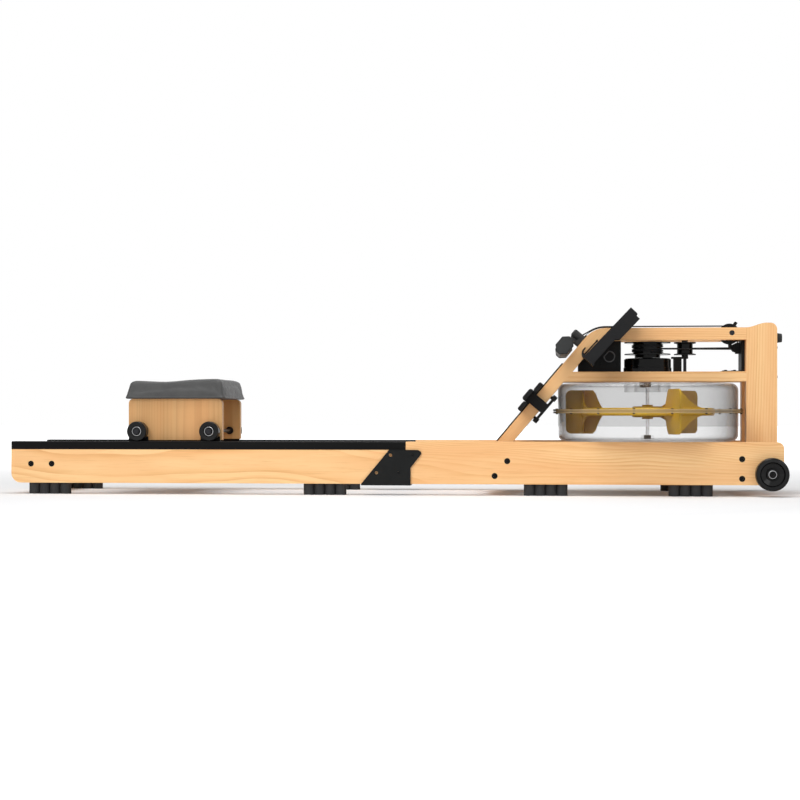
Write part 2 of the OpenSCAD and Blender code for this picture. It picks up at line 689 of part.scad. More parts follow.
// A straight round cord between two points
module cord(a, b) {
    d = b - a;
    l = norm(d);
    translate(a) rotate([0, acos(d[2] / l), atan2(d[1], d[0])]) cylinder(r = rope_r, h = l, $fn = 16);
}
// A round cord swept along the points of its route. The first k points lie in
// an upright plane, the others run level or climb a little.
function unit(v) = v / norm(v);
function heading(p, i) = unit(p[min(i + 1, len(p) - 1)] - p[max(i - 1, 0)]);
function side_of(p, i, k) = i < k ? [0, 1, 0] : unit(cross([0, 0, -1], heading(p, i)));
function cord_ring(p, i, k) = let (t = heading(p, i), u = side_of(p, i, k), w = cross(t, u))
    [for (j = [0:cord_sides - 1]) let (a = (j + 0.5) * 360 / cord_sides)
        p[i] + rope_r / cos(180 / cord_sides) * (cos(a) * u + sin(a) * w)];
function cord_skin(n) = concat(
    [for (i = [0:n - 2], j = [0:cord_sides - 1]) let (q = (j + 1) % cord_sides)
        [i * cord_sides + j, i * cord_sides + q, (i + 1) * cord_sides + j]],
    [for (i = [0:n - 2], j = [0:cord_sides - 1]) let (q = (j + 1) % cord_sides)
        [i * cord_sides + q, (i + 1) * cord_sides + q, (i + 1) * cord_sides + j]],
    [for (j = [1:cord_sides - 2]) [0, j + 1, j]],
    [for (j = [1:cord_sides - 2]) let (e = (n - 1) * cord_sides) [e, e + j, e + j + 1]]);
module swept_cord(p, k) polyhedron([for (i = [0:len(p) - 1], q = cord_ring(p, i, k)) q], cord_skin(len(p)));
// The least gap between turns of a wound cord
function turn_gap(p, m) = min([for (i = [0:len(p) - m - 1], j = [i + m:len(p) - 1]) norm(p[i] - p[j])])
    - 2 * rope_r;
function arc_up(cx, cz, r, a0, a1, n) = [for (q = arc(cx, cz, r, a0, a1, n)) [q[0], 0, q[1]]];
coil_steps = 36;
function coil(z, a0, way, turns) = [for (i = [1:coil_steps * turns])
    let (a = a0 + way * i * 360 / coil_steps)
    [tank_x + drum_in * cos(a), drum_in * sin(a), z + way * wind_pitch * i / coil_steps]];

// The rope, from the guide over the idler and the pin to the drum, where its
// turns lie side by side
rope_r0 = bend_r + rope_n;
hold_s = handle_s + cap_l / 2 - grip_inset + gap;
hold_n = handle_n - 4;
hold_d = norm([hold_s - bend_s, hold_n + bend_r]);
leave_a = atan2(hold_n + bend_r, hold_s - bend_s) - acos(rope_r0 / hold_d) + slope_a;
drum_in = drum_r + rope_lie;
lead_a = asin(drum_in / (guide_x - tank_x));
lead_x = tank_x + drum_in * sin(lead_a);
lead_y = -drum_in * cos(lead_a);
rope_turns = 2;
cord_turns = 2;
wind_pitch = 2 * rope_r / cos(180 / cord_sides) + 0.5;
rope_route = concat(
    arc_up(bend_x, bend_z, rope_r0, leave_a, 90, 7),
    arc_up(idler_x, idler_z, idler_r + rope_lie, 90, 0, 9),
    arc_up(guide_x, pin_z, pin_r + rope_lie, 0, -90, 6),
    [[guide_x - 2, 0, run_z], [lead_x, lead_y, run_z]],
    coil(run_z, lead_a - 90, -1, rope_turns));
module drive_rope() color([0.06, 0.06, 0.06]) placed() swept_cord(rope_route, 25);

// The recoil cord, from its anchor past the pulley to the far side of the drum;
// it winds the other way round, above the rope
cord_anchor_y = 16;
cord_z = run_z + wind_pitch;
cord_end = [channel_x - 5, cord_anchor_y];
pull_at = [recoil_x, recoil_y];
pull_r = recoil_r + rope_lie;
turn_a0 = atan2(cord_end[1] - recoil_y, cord_end[0] - recoil_x) + acos(pull_r / norm(cord_end - pull_at));
turn_a1 = atan2(recoil_y, recoil_dx) + acos((drum_in - pull_r) / norm([recoil_dx, recoil_y]));
cord_route = concat([[cord_end[0], cord_end[1], cord_z]],
    [for (i = [0:2]) let (a = turn_a0 + (turn_a1 - turn_a0) * i / 2)
        [recoil_x + pull_r * cos(a), recoil_y + pull_r * sin(a), cord_z]],
    [[tank_x + drum_in * cos(turn_a1), drum_in * sin(turn_a1), cord_z]],
    coil(cord_z, turn_a1, 1, cord_turns));
module recoil_cord() color([0.1, 0.1, 0.1]) placed() swept_cord(cord_route, 0);
echo(rope_turn_gap = turn_gap(rope_route, 27), cord_turn_gap = turn_gap(cord_route, 27));

// The length of rope that pays out when the handle is pulled
module pull_rope() color([0.06, 0.06, 0.06]) placed() {
    a = slope_pt(hold_s, hold_n);
    b = [bend_x + rope_r0 * cos(leave_a), bend_z + rope_r0 * sin(leave_a)];
    c = b + (a - b) * gap / norm(a - b);
    cord([c[0], 0, c[1]], [a[0], 0, a[1]]);
}

// The tank: two clear shells with flanges, a seal and a ring of screws
seal_t = 0.6;
screw_at = tank_r + 8;
boss_z = tank_z0 + tank_wall;
tank_in = tank_r - tank_wall;
edge_in = tank_edge_r - tank_wall;
module screw_holes(z, h) for (i = [0:flange_screws_n - 1]) rotate((i + 0.5) * 360 / flange_screws_n)
    translate([screw_at, 0, z]) cylinder(r = 2.1, h = h, $fn = 16);
module tank_lower() color([0.7, 0.68, 0.66, 0.35]) placed() translate([tank_x, 0, 0]) difference() {
    rotate_extrude($fn = 96) polygon(concat([[0, tank_z0]],
        arc(tank_r - tank_edge_r, tank_z0 + tank_edge_r, tank_edge_r, -90, 0, 6),
        [[tank_r, tank_mid - flange_t], [tank_flange_r, tank_mid - flange_t],
        [tank_flange_r, tank_mid - seal_t], [tank_in, tank_mid - seal_t]],
        arc(tank_r - tank_edge_r, tank_z0 + tank_edge_r, edge_in, 0, -90, 6),
        [[17, boss_z], [17, boss_z + 12], [bush_r + fit, boss_z + 12], [bush_r + fit, boss_z + 2],
        [0, boss_z + 2]]));
    screw_holes(tank_mid - flange_t - 1, flange_t + 2);
}
lid_z = tank_z1 - tank_wall;
lid_rib_1 = 33;
lid_rib_2 = 61;
lid_rib_t = 3;
lid_rib_h = 20;
function lid_rib(r) = [[r, lid_z], [r, lid_z - lid_rib_h], [r + lid_rib_t, lid_z - lid_rib_h],
    [r + lid_rib_t, lid_z]];
plug_y = 152;
plug_r = 17;
module tank_upper() color([0.7, 0.68, 0.66, 0.35]) placed() translate([tank_x, 0, 0]) difference() {
    rotate_extrude($fn = 96) polygon(concat(
        [[bush_r + fit, tank_z1], [bush_r + fit, lid_z]],
        lid_rib(lid_rib_1), lid_rib(lid_rib_2),
        arc(tank_r - tank_edge_r, tank_z1 - tank_edge_r, edge_in, 90, 0, 6),
        [[tank_in, tank_mid + seal_t], [tank_flange_r, tank_mid + seal_t],
        [tank_flange_r, tank_mid + flange_t], [tank_r, tank_mid + flange_t]],
        arc(tank_r - tank_edge_r, tank_z1 - tank_edge_r, tank_edge_r, 0, 90, 6)));
    screw_holes(tank_mid, flange_t + 1);
    translate([0, plug_y, lid_z - 1]) cylinder(r = plug_r - 3 + fit, h = tank_wall + 2);
}
module tank_gasket() color([0.15, 0.15, 0.15]) placed() translate([tank_x, 0, tank_mid - seal_t])
    rotate_extrude($fn = 96) translate([tank_in + 0.5, 0]) square([screw_at - 4 - tank_in, 2 * seal_t]);
module flange_screws() color([0.1, 0.1, 0.1]) placed() translate([tank_x, 0, 0])
    for (i = [0:flange_screws_n - 1]) rotate((i + 0.5) * 360 / flange_screws_n)
        translate([screw_at, 0, tank_mid - flange_t - 2.5]) {
            cylinder(r = 2, h = 2 * flange_t + 2.5, $fn = 16);
            translate([0, 0, 2 * flange_t + 2.5]) cylinder(r = 3.6, h = 2, $fn = 16);
            cylinder(r = 3.2, h = 2.5, $fn = 6);
        }
module fill_plug() color([0.12, 0.12, 0.12]) placed() translate([tank_x, plug_y, tank_z1]) {
    cylinder(r1 = plug_r, r2 = plug_r - 2, h = 5);
    translate([0, 0, -tank_wall - 4]) cylinder(r = plug_r - 3, h = tank_wall + 4.5);
    translate([-plug_r + 5, -2, 5]) cube([2 * plug_r - 10, 4, 4]);
}

// Bushes of the drive shaft: in the tank's floor, its lid and the clutch housing
bushes = [[boss_z + 2, boss_z + 13], [lid_z - 6, tank_z1 + 2], [clutch_top - 12, clutch_top - 0.5]];
module shaft_bushes() color([0.75, 0.72, 0.6]) placed() for (b = bushes)
    translate([tank_x, 0, b[0]]) difference() {
        cylinder(r = bush_r, h = b[1] - b[0]);
        translate([0, 0, b[0] == bushes[0][0] ? 2 : -1])
            cylinder(r = shaft_r + run, h = b[1] - b[0] + 2);
    }
module drive_shaft() color([0.7, 0.7, 0.72]) placed() translate([tank_x, 0, boss_z + 4 + gap]) {
    cylinder(r = shaft_r, h = drum_z1 + 1 - boss_z - 4 - gap);
    translate([0, 0, drum_z1 + 1 - boss_z - 4 - gap]) cylinder(r1 = shaft_r, r2 = shaft_r - 1, h = 1);
}

// The impeller: a disc with a deep rim on a hub, with upright paddles round it.
// A curved skirt runs from each paddle down to the rim.
paddle_t = 5;
disc_h = 7;
rim_h = 21;
rim_w = 12;
half_h = paddle_h / 2;
hub_h = 30;
collar_r = 15;
collar_h = 39;
paddle_foot = 30;
function paddle_edge(k) = concat(
    [for (i = [0:6]) let (t = i / 6) [paddle_r - paddle_l - paddle_foot * (1 - t),
        k * (disc_h / 2 - 1 + (half_h - 11) * pow(t, 1.7))]],
    [[paddle_r - paddle_l + 8, k * half_h]],
    arc(paddle_r - 16, k * (half_h - 16), 16, k * 90, 0, 5));
skirt_steps = [[0, 1], [5, 0.98], [10, 0.83], [16, 0.52], [25, 0.27], [38, 0.12]];
skirt_r = disc_r - rim_w / 2;
skirt_t = 4;
function skirt_side(k) = [for (q = skirt_steps) [skirt_r * sin(q[0]), k * q[1] * (half_h - 2)]];
module skirt() intersection() {
    difference() {
        translate([0, 0, -half_h]) cylinder(r = skirt_r + skirt_t / 2, h = 2 * half_h, $fn = 96);
        translate([0, 0, -half_h - 1]) cylinder(r = skirt_r - skirt_t / 2, h = 2 * half_h + 2, $fn = 96);
    }
    rotate([90, 0, 90]) linear_extrude(paddle_r)
        polygon(concat(skirt_side(-1), [for (i = [len(skirt_steps) - 1:-1:0]) skirt_side(1)[i]]));
}
module impeller() color([0.78, 0.62, 0.14]) placed() translate([tank_x, 0, disc_z]) union() {
    rotate_extrude($fn = 96) polygon([[shaft_r + run, -collar_h / 2], [collar_r, -collar_h / 2],
        [collar_r, -hub_h / 2], [hub_r - 3, -hub_h / 2], [hub_r, -hub_h / 2 + 3], [hub_r, -disc_h / 2],
        [disc_r - rim_w, -disc_h / 2], [disc_r - rim_w, -rim_h / 2], [disc_r - 3, -rim_h / 2],
        [disc_r, -rim_h / 2 + 3], [disc_r, rim_h / 2 - 3], [disc_r - 3, rim_h / 2],
        [disc_r - rim_w, rim_h / 2], [disc_r - rim_w, disc_h / 2], [hub_r, disc_h / 2],
        [hub_r, hub_h / 2 - 3], [hub_r - 3, hub_h / 2], [collar_r, hub_h / 2],
        [collar_r, collar_h / 2], [shaft_r + run, collar_h / 2]]);
    for (i = [0:paddles_n - 1]) rotate(169 + i * 360 / paddles_n) {
        translate([0, paddle_t / 2, 0]) rotate([90, 0, 0]) linear_extrude(paddle_t)
            polygon(concat(paddle_edge(1), [for (i = [12:-1:0]) paddle_edge(-1)[i]]));
        skirt();
    }
}

// The rope drum, loose on the upper end of the shaft
module rope_drum() color([0.08, 0.08, 0.08]) placed() translate([tank_x, 0, 0])
    rotate_extrude($fn = 96) polygon([[shaft_r + run, clutch_top + gap], [14, clutch_top + gap],
        [14, clutch_top + 2], [drum_r - 4.5, clutch_top + 2], [drum_r - 4.5, drum_z0],
        [drum_flange_r, drum_z0], [drum_flange_r, drum_z0 + 3], [drum_r, drum_z0 + 3],
        [drum_r, drum_z1 - 3], [drum_flange_r, drum_z1 - 3], [drum_flange_r, drum_z1],
        [drum_r - 5, drum_z1], [drum_r - 8, drum_z1 - 4], [14, drum_z1 - 4], [12, drum_z1],
        [shaft_r + run, drum_z1]]);
module recoil_pulley() color([0.08, 0.08, 0.08]) placed() translate([recoil_x, recoil_y, 0])
    rotate_extrude($fn = 96) polygon([[recoil_axle_r + run, bracket_top + gap], [9, bracket_top + gap],
        [9, drum_z0], [recoil_flange_r, drum_z0], [recoil_flange_r, drum_z0 + 3],
        [recoil_r, drum_z0 + 5], [recoil_r, drum_z1 - 5], [recoil_flange_r, drum_z1 - 3],
        [recoil_flange_r, drum_z1], [recoil_axle_r + run, drum_z1]]);
module idler_pulley() color([0.1, 0.1, 0.1]) placed() translate([idler_x, 0, idler_z])
    rotate([90, 0, 0]) rotate_extrude($fn = 96) polygon([[axle_r + run, -idler_w / 2],
        [idler_flange_r, -idler_w / 2], [idler_flange_r, -idler_w / 2 + 1.5],
        [idler_r, -2.2], [idler_r, 2.2], [idler_flange_r, idler_w / 2 - 1.5],
        [idler_flange_r, idler_w / 2], [axle_r + run, idler_w / 2]]);

// Transport wheels outside the front rails, each on a shouldered bolt
wheel_edge = 5;
module wheel_near() color([0.06, 0.06, 0.06]) placed() translate([wheel_x, -wheel_y0, wheel_z])
    rotate([90, 0, 0]) difference() {
        rotate_extrude($fn = 96) polygon(concat([[axle_r + run, 0], [bearing_r, 0],
            [wheel_r - wheel_edge, 0]],
            arc(wheel_r - wheel_edge, wheel_edge, wheel_edge, -60, 0, 3),
            arc(wheel_r - wheel_edge, wheel_w - wheel_edge, wheel_edge, 0, 90, 4),
            [[wheel_r - 11, wheel_w], [wheel_r - 14, wheel_w - 4], [bearing_r + 4, wheel_w - 7],
            [bearing_r + 2, wheel_w - 3], [bearing_r, wheel_w - 3], [bearing_r, wheel_w - 5],
            [bearing_r - 2, wheel_w - 4], [axle_r + run, wheel_w - 4]]));
    }
module wheel_far() color([0.06, 0.06, 0.06]) far() wheel_near();
module wheel_bolts() color([0.2, 0.2, 0.2]) placed() both() {
    bar_y(wheel_x, wheel_z, axle_r, -wheel_y0 - wheel_w + 4 - gap, -rail_in + 8);
    bar_y(wheel_x, wheel_z, 11, -wheel_y0 + gap, -rail_out);
    difference() {
        bar_y(wheel_x, wheel_z, 8.5, -wheel_y0 - wheel_w + 0.5, -wheel_y0 - wheel_w + 4 - gap);
        translate([wheel_x, -wheel_y0 - wheel_w + 3, wheel_z]) rotate([90, 0, 0])
            cylinder(r = 4, h = 5, $fn = 6);
    }
    translate([wheel_x, -rail_in + 6.5, wheel_z]) rotate([90, 0, 0]) cylinder(r = 9, h = 6.5, $fn = 6);
}

// The seat cushion: a block with a flared lower edge, sides that lean in and
// are drawn in between its corners, and a hollowed, crowned top.
corner_r = 14;
ring_side = 9;
ring_bend = 5;
ring_n = 4 * (ring_side + ring_bend);
function ring_pt(j, a, b, r) = let (
    q = floor(j / (ring_side + ring_bend)),
    m = j - q * (ring_side + ring_bend),
    lx = q % 2 == 0 ? a : b,
    ly = q % 2 == 0 ? b : a,
    t = -(ly - r) + 2 * (ly - r) * m / ring_side,
    w = (m - ring_side) * 90 / ring_bend,
    p = m < ring_side ? [lx, t] : [lx - r + r * cos(w), ly - r + r * sin(w)])
    [p[0] * cos(90 * q) - p[1] * sin(90 * q), p[0] * sin(90 * q) + p[1] * cos(90 * q)];
function drawn(p, k) = [p[0], p[1] * (1 - k * 0.022 * cos(180 * p[0] / cushion_l))];
function top_z(x, y) = cushion_h
    - cushion_dip * exp(-pow((x + 38) / 72, 2))
    - 3 * max(0, -x / 140)
    - 4 * exp(-pow((x + 10) / 60, 2) - pow((abs(y) - 62) / 38, 2))
    - 2 * pow(abs(y) / (cushion_w / 2), 2);
edge_rows = [[0.6, 0], [0, 0.02], [0.4, 0.05], [2.2, 0.16], [4.6, 0.36], [7, 0.6], [9.4, 0.82],
    [11.4, 0.93], [14.4, 0.98], [22, 0.998]];
row_n = len(edge_rows);
inner_k = [0.8, 0.6, 0.4, 0.2];
function edge_pt(j, row) = let (
    e = edge_rows[row],
    a = cushion_l / 2 - e[0],
    b = cushion_w / 2 - e[0],
    p = drawn(ring_pt(j, a, b, corner_r - e[0] / 3), e[1] > 0.1 ? 0.6 : 0.2))
    [p[0], p[1], e[1] * top_z(p[0] * 0.92, p[1] * 0.92)];
function in_pt(j, k) = let (p = edge_pt(j, row_n - 1)) [p[0] * k, p[1] * k, top_z(p[0] * k, p[1] * k)];
cushion_pts = concat(
    [for (i = [0:row_n - 1], j = [0:ring_n - 1]) edge_pt(j, i)],
    [for (k = inner_k, j = [0:ring_n - 1]) in_pt(j, k)],
    [[0, 0, top_z(0, 0)], [0, 0, 0]]);
rows = row_n + len(inner_k);
last = rows * ring_n;
function nx(j) = (j + 1) % ring_n;
cushion_faces = concat(
    [for (i = [0:rows - 2], j = [0:ring_n - 1])
        [i * ring_n + j, (i + 1) * ring_n + j, i * ring_n + nx(j)]],
    [for (i = [0:rows - 2], j = [0:ring_n - 1])
        [i * ring_n + nx(j), (i + 1) * ring_n + j, (i + 1) * ring_n + nx(j)]],
    [for (j = [0:ring_n - 1]) [(rows - 1) * ring_n + j, last, (rows - 1) * ring_n + nx(j)]],
    [for (j = [0:ring_n - 1]) [nx(j), last + 1, j]]);
module seat_cushion() color([0.3, 0.3, 0.29]) placed() translate([seat_x, 0, cushion_z0])
    polyhedron(cushion_pts, cushion_faces);

// Wooden side panels with a bored rear axle and a slot in front
panel_r = 12;
panel_x0 = seat_x - panel_l / 2;
panel_x1 = seat_x + panel_l / 2;
axle_xs = [seat_x - axle_pitch / 2, seat_x + axle_pitch / 2];
module seat_panels() color("burlywood") placed() both() difference() {
    side(-panel_out, -panel_out + panel_t) polygon(concat(
        [[panel_x0, panel_z0], [panel_x1, panel_z0]],
        arc(panel_x1 - panel_r, cushion_z0 - panel_r, panel_r, 0, 90, 5),
        arc(panel_x0 + panel_r, cushion_z0 - panel_r, panel_r, 90, 180, 5)));
    bar_y(axle_xs[0], axle_z, axle_r + fit, -panel_out - 1, -panel_out + panel_t + 1);
    for (x = [-7, 1]) bar_y(axle_xs[1] + x, axle_z, 8, -panel_out - 1, -panel_out + panel_t + 1);
    block([axle_xs[1] - 7, -panel_out - 1, axle_z - 8],
        [axle_xs[1] + 1, -panel_out + panel_t + 1, axle_z + 8]);
}
seat_board_in = 56;
module seat_board() color("burlywood") placed() {
    y = panel_out - panel_t;
    block([panel_x0 + seat_board_in, -y, cushion_z0 - 18], [panel_x1 - seat_board_in, y, cushion_z0]);
    for (x = [panel_x0 + seat_board_in, panel_x1 - seat_board_in - 18])
        block([x, -y, cushion_z0 - 58], [x + 18, y, cushion_z0 - 18]);
}
module seat_axles() color([0.3, 0.3, 0.3]) placed() for (x = axle_xs) {
    bar_y(x, axle_z, axle_r, -roller_y0 - roller_w - gap, roller_y0 + roller_w + gap);
    both() {
        bar_y(x, axle_z, 11, -roller_y0 + gap, -panel_out);
        bar_y(x, axle_z, 11, -panel_out + panel_t, -panel_out + panel_t + 4);
        bar_y(x, axle_z, 8, -roller_y0 - roller_w - 4, -roller_y0 - roller_w - gap);
    }
}
// Guide shoes: a plate on each panel beside the rollers and a leg inside the rail
shoe_l = 54;
module roller_guards() color([0.1, 0.1, 0.1]) placed() both() for (x = axle_xs) {
    x0 = x - 29;
    block([x0, -roller_y0 + 0.5, rail_top + 1.5], [x0 + shoe_l, -panel_out, panel_z0 + 10]);
    block([x0, -panel_out, panel_z0 - 19], [x0 + shoe_l, -panel_out + 8, panel_z0]);
}
roller_edge = 3.5;
module roller(x) translate([x, -roller_y0, axle_z]) rotate([90, 0, 0])
    rotate_extrude($fn = 96) polygon(concat([[axle_r + run, 0], [roller_r - roller_edge, 0]],
        arc(roller_r - roller_edge, roller_edge, roller_edge, -60, 0, 3),
        arc(roller_r - roller_edge, roller_w - roller_edge, roller_edge, 0, 90, 4),
        [[bearing_r + 2, roller_w], [bearing_r, roller_w - 1.5], [axle_r + 4, roller_w - 1.5],
        [axle_r + 3, roller_w], [axle_r + run, roller_w]]));
module rear_rollers() color([0.08, 0.08, 0.08]) placed() both() roller(axle_xs[0]);
module front_rollers() color([0.08, 0.08, 0.08]) placed() both() roller(axle_xs[1]);

// The foot slider: a clamp round the sloped beams that slides along them
clamp_y = upper_out + gap;
band_y = clamp_y + band_t;
clamp_n1 = sheet_t + gap;
plate_n = -beam_h - 6;
module on_slope(s0, s1, n0, n1, y0, y1) side(y0, y1) polygon([slope_pt(s0, n0), slope_pt(s1, n0),
    slope_pt(s1, n1), slope_pt(s0, n1)]);
module foot_slider() color([0.12, 0.12, 0.12]) placed() {
    on_slope(clamp_s - roll_l / 2, clamp_s + roll_l / 2, clamp_n1, clamp_n1 + 9, -band_y, band_y);
    both() on_slope(clamp_s - clamp_l / 2, clamp_s + clamp_l / 2, plate_n - 1, clamp_n1 + 1,
        -band_y, -clamp_y);
    on_slope(clamp_s - plate_l / 2, clamp_s + plate_l / 2, plate_n - plate_t, plate_n, -band_y, band_y);
    for (k = [-1, 1]) both() {
        c = clamp_s + k * (plate_l / 2 - 7);
        on_slope(c - 4, c + 4, plate_n - 1, -beam_h - gap, -upper_out + 8, -upper_in - 8);
        p = slope_pt(c + k * 3, plate_n - plate_t - 3);
        translate([p[0], -upper_out + 5, p[1]]) rotate([0, -slope_a, 0])
            cylinder(r = 7, h = plate_t + 6, $fn = 24);
    }
}
// Rubber foot rests across the slider: lower and upper pad and the front roll
module rest_bar(s0, s1, n0, n1, r) side(-rest_w / 2, rest_w / 2) polygon(concat(
    [slope_pt(s0, n0), slope_pt(s1, n0)],
    [for (i = [0:4]) slope_pt(s1 - r + r * sin(90 - i * 22.5), n1 - r + r * cos(90 - i * 22.5))],
    [for (i = [0:4]) slope_pt(s0 + r - r * sin(i * 22.5), n1 - r + r * cos(i * 22.5))]));
module foot_rests() color([0.18, 0.18, 0.18]) placed() {
    rest_bar(clamp_s - roll_l / 2, clamp_s + roll_l / 2, clamp_n1 + 9, clamp_n1 + 9 + roll_t, 7);
    rest_bar(clamp_s + roll_l / 2, clamp_s + roll_l / 2 + pad_l, clamp_n1, clamp_n1 + pad_h, 5);
    rest_bar(clamp_s - roll_l / 2 - pad_l, clamp_s - roll_l / 2, clamp_n1, clamp_n1 + pad_h, 5);
}

// The handle: an eight-sided grip with rubber caps on its ends
module handle_shape(inset, y0, y1) side(y0, y1) polygon([for (k = [[1, 0.3], [0.52, 1], [-0.52, 1],
    [-1, 0.3], [-1, -0.3], [-0.52, -1], [0.52, -1], [1, -0.3]])
    slope_pt(handle_s + k[0] * (cap_l / 2 - inset), handle_n + k[1] * (cap_w / 2 - inset))]);
grip_half = handle_l / 2 - cap_t;
module handle_grip() color([0.6, 0.6, 0.6]) placed() handle_shape(grip_inset, -grip_half, grip_half);
module handle_caps() color([0.18, 0.18, 0.18]) placed() both() {
    handle_shape(0, -handle_l / 2 + 3, -grip_half);
    handle_shape(3, -handle_l / 2, -handle_l / 2 + 3);
}

// The device holder: a tilting slab outside the near beam, with a tray
holder_u1 = holder_u0 + holder_l;
holder_v1 = holder_v0 + holder_t;
module holder_side(y0, y1, pts) side(y0, y1) polygon([for (p = pts) holder_pt(p[0], p[1])]);
module holder_slab() color([0.1, 0.1, 0.1]) placed() difference() {
    union() {
        holder_side(-holder_y - holder_w, -holder_y, [[holder_u0, holder_v0], [holder_u0 - 3, holder_v1 + 5],
            [holder_u1 - 3, holder_v1], [holder_u1, holder_v1 - 3], [holder_u1, holder_v0]]);
        holder_side(-holder_y - holder_w, -holder_y, [[-3, holder_v1 + 1], [9, holder_v1 + backing_t],
            [holder_u1 - 6, holder_v1 + backing_t], [holder_u1 - 6, holder_v1 - 1]]);
    }
    bar_y(holder_px, holder_pz, axle_r + run, -holder_y - pin_l - gap, -holder_y + 1);
}
module holder_tray() color([0.1, 0.1, 0.1]) placed() {
    y0 = -holder_y - holder_w;
    y1 = -holder_y - 2;
    holder_side(y0, y1, [[holder_u0, holder_v0],
        [holder_u0 - 3, holder_v1 + 5], [holder_u0 - 5, holder_v1 + 9],
        [holder_u0 - 9, holder_v1 + 9], [holder_u0 - 9, holder_v0 - 3], [holder_u0 - 5, holder_v0 - 9],
        [holder_u0 + 1, holder_v0 - 14], [holder_u0 + 12, holder_v0 - 15],
        [holder_u0 + 12, holder_v0 - 12], [holder_u0 + 3, holder_v0 - 11],
        [holder_u0 - 2, holder_v0 - 6], [holder_u0 - 2, holder_v0]]);
    holder_side(y0 + 20, y1 - 20, [[holder_u0 - 2, holder_v0 - 4.5], [holder_u0 + 44, holder_v0 - 5.5],
        [holder_u0 + 48, holder_v0 - 7], [holder_u0 + 51, holder_v0 - 4], [holder_u0 + 48, holder_v0 - 1],
        [holder_u0 + 44, holder_v0 - 2.2], [holder_u0 - 2, holder_v0 - 1.2]]);
}

rear_rail_near();
rear_rail_far();
front_rail_near();
front_rail_far();
seat_tracks();
splice_plates();
rear_cross_board();
tilted_cross_board();
front_cross_board();
frame_bolts();
rubber_feet();
seat_stops();
post_near();
post_far();
sloped_beam_near();
sloped_beam_far();
top_beams();
deck_beams();
deck_board();
storage_bumpers();
rope_guide();
front_sheet();
handle_rests();
control_housing();
pulley_axles();
guide_bracket();
cord_guide();
rope_keeper();
clutch_housing();
recoil_bracket();
drive_rope();
recoil_cord();
pull_rope();
tank_lower();
tank_upper();
tank_gasket();
flange_screws();
shaft_bushes();
wheel_bolts();
fill_plug();
idler_pulley();
rope_drum();
recoil_pulley();
impeller();
drive_shaft();
wheel_near();
wheel_far();
seat_cushion();
seat_board();
seat_panels();
seat_axles();
roller_guards();
rear_rollers();
front_rollers();
foot_slider();
foot_rests();
handle_grip();
handle_caps();
holder_slab();
holder_tray();
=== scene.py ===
import math

import bmesh
import bpy
from mathutils import Matrix, Vector


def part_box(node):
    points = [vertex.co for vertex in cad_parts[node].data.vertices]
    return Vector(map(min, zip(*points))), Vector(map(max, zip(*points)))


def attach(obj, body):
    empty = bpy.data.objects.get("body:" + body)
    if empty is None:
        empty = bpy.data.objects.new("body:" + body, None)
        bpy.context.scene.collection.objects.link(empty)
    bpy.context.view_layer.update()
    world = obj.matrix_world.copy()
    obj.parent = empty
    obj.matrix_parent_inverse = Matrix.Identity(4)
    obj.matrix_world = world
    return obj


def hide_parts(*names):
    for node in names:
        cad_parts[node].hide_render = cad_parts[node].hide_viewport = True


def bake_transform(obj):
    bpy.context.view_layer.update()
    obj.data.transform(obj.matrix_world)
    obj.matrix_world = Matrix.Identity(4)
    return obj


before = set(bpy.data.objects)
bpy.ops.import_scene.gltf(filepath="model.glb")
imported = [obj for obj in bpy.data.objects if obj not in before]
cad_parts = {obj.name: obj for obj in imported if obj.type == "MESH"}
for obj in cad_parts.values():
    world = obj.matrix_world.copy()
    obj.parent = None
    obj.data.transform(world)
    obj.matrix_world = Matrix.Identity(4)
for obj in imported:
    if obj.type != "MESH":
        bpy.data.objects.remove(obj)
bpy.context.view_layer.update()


# Camera: the photograph's viewing angle, level, low and a little from the right, from 4.6 m.
# The lens and the place come from the rails, the feet and the tank's round flange.
scene = bpy.context.scene
scene.view_settings.view_transform = "Standard"
cam_data = bpy.data.cameras.new("camera")
cam_data.sensor_width = 36.0
cam_data.lens = 73.8
cam_data.shift_y = 0.0205
camera = bpy.data.objects.new("camera", cam_data)
camera.location = (0.427, -4.564, 0.212)
camera.rotation_euler = (math.radians(90), 0, math.radians(5.257))
scene.collection.objects.link(camera)
scene.camera = camera


# Studio walls: an even soft light, a little stronger and warmer from the left. The camera and
# the polished parts see plain white there, and the object is lit by the softer tones.
def feed(node, inputs):
    """Gives a node's inputs a value, or a link from a socket or from a node's own output."""
    for key, value in inputs.items():
        if isinstance(value, bpy.types.Node):
            value = next(s for s in value.outputs if s.enabled)
        if isinstance(value, bpy.types.NodeSocket):
            node.id_data.links.new(value, node.inputs[key])
        else:
            node.inputs[key].default_value = value


def add(tree, kind, inputs=None, stops=(), **settings):
    """Adds one shader node, with its settings, its inputs and the stops of a colour ramp."""
    n = tree.nodes.new("ShaderNode" + kind)
    for key, value in settings.items():
        setattr(n, key, value)
    feed(n, inputs or {})
    for i, (place, code) in enumerate(stops):
        stop = n.color_ramp.elements[i] if i < 2 else n.color_ramp.elements.new(place)
        stop.position = place
        stop.color = lin(code)
    return n


def lin(code):
    """Turns an sRGB hex colour into linear RGBA."""
    def one(i):
        v = int(code[i:i + 2], 16) / 255
        return v / 12.92 if v <= 0.04045 else ((v + 0.055) / 1.055) ** 2.4
    return (one(1), one(3), one(5), 1.0)


def seen_white(tree):
    """Gives 1 to camera, glossy and transmission rays and 0 to the rays that light the object."""
    path = add(tree, "LightPath")
    direct = add(tree, "Math", {0: path.outputs["Is Camera Ray"], 1: path.outputs["Is Glossy Ray"]},
                 operation="MAXIMUM")
    return add(tree, "Math", {0: direct, 1: path.outputs["Is Transmission Ray"]}, operation="MAXIMUM")


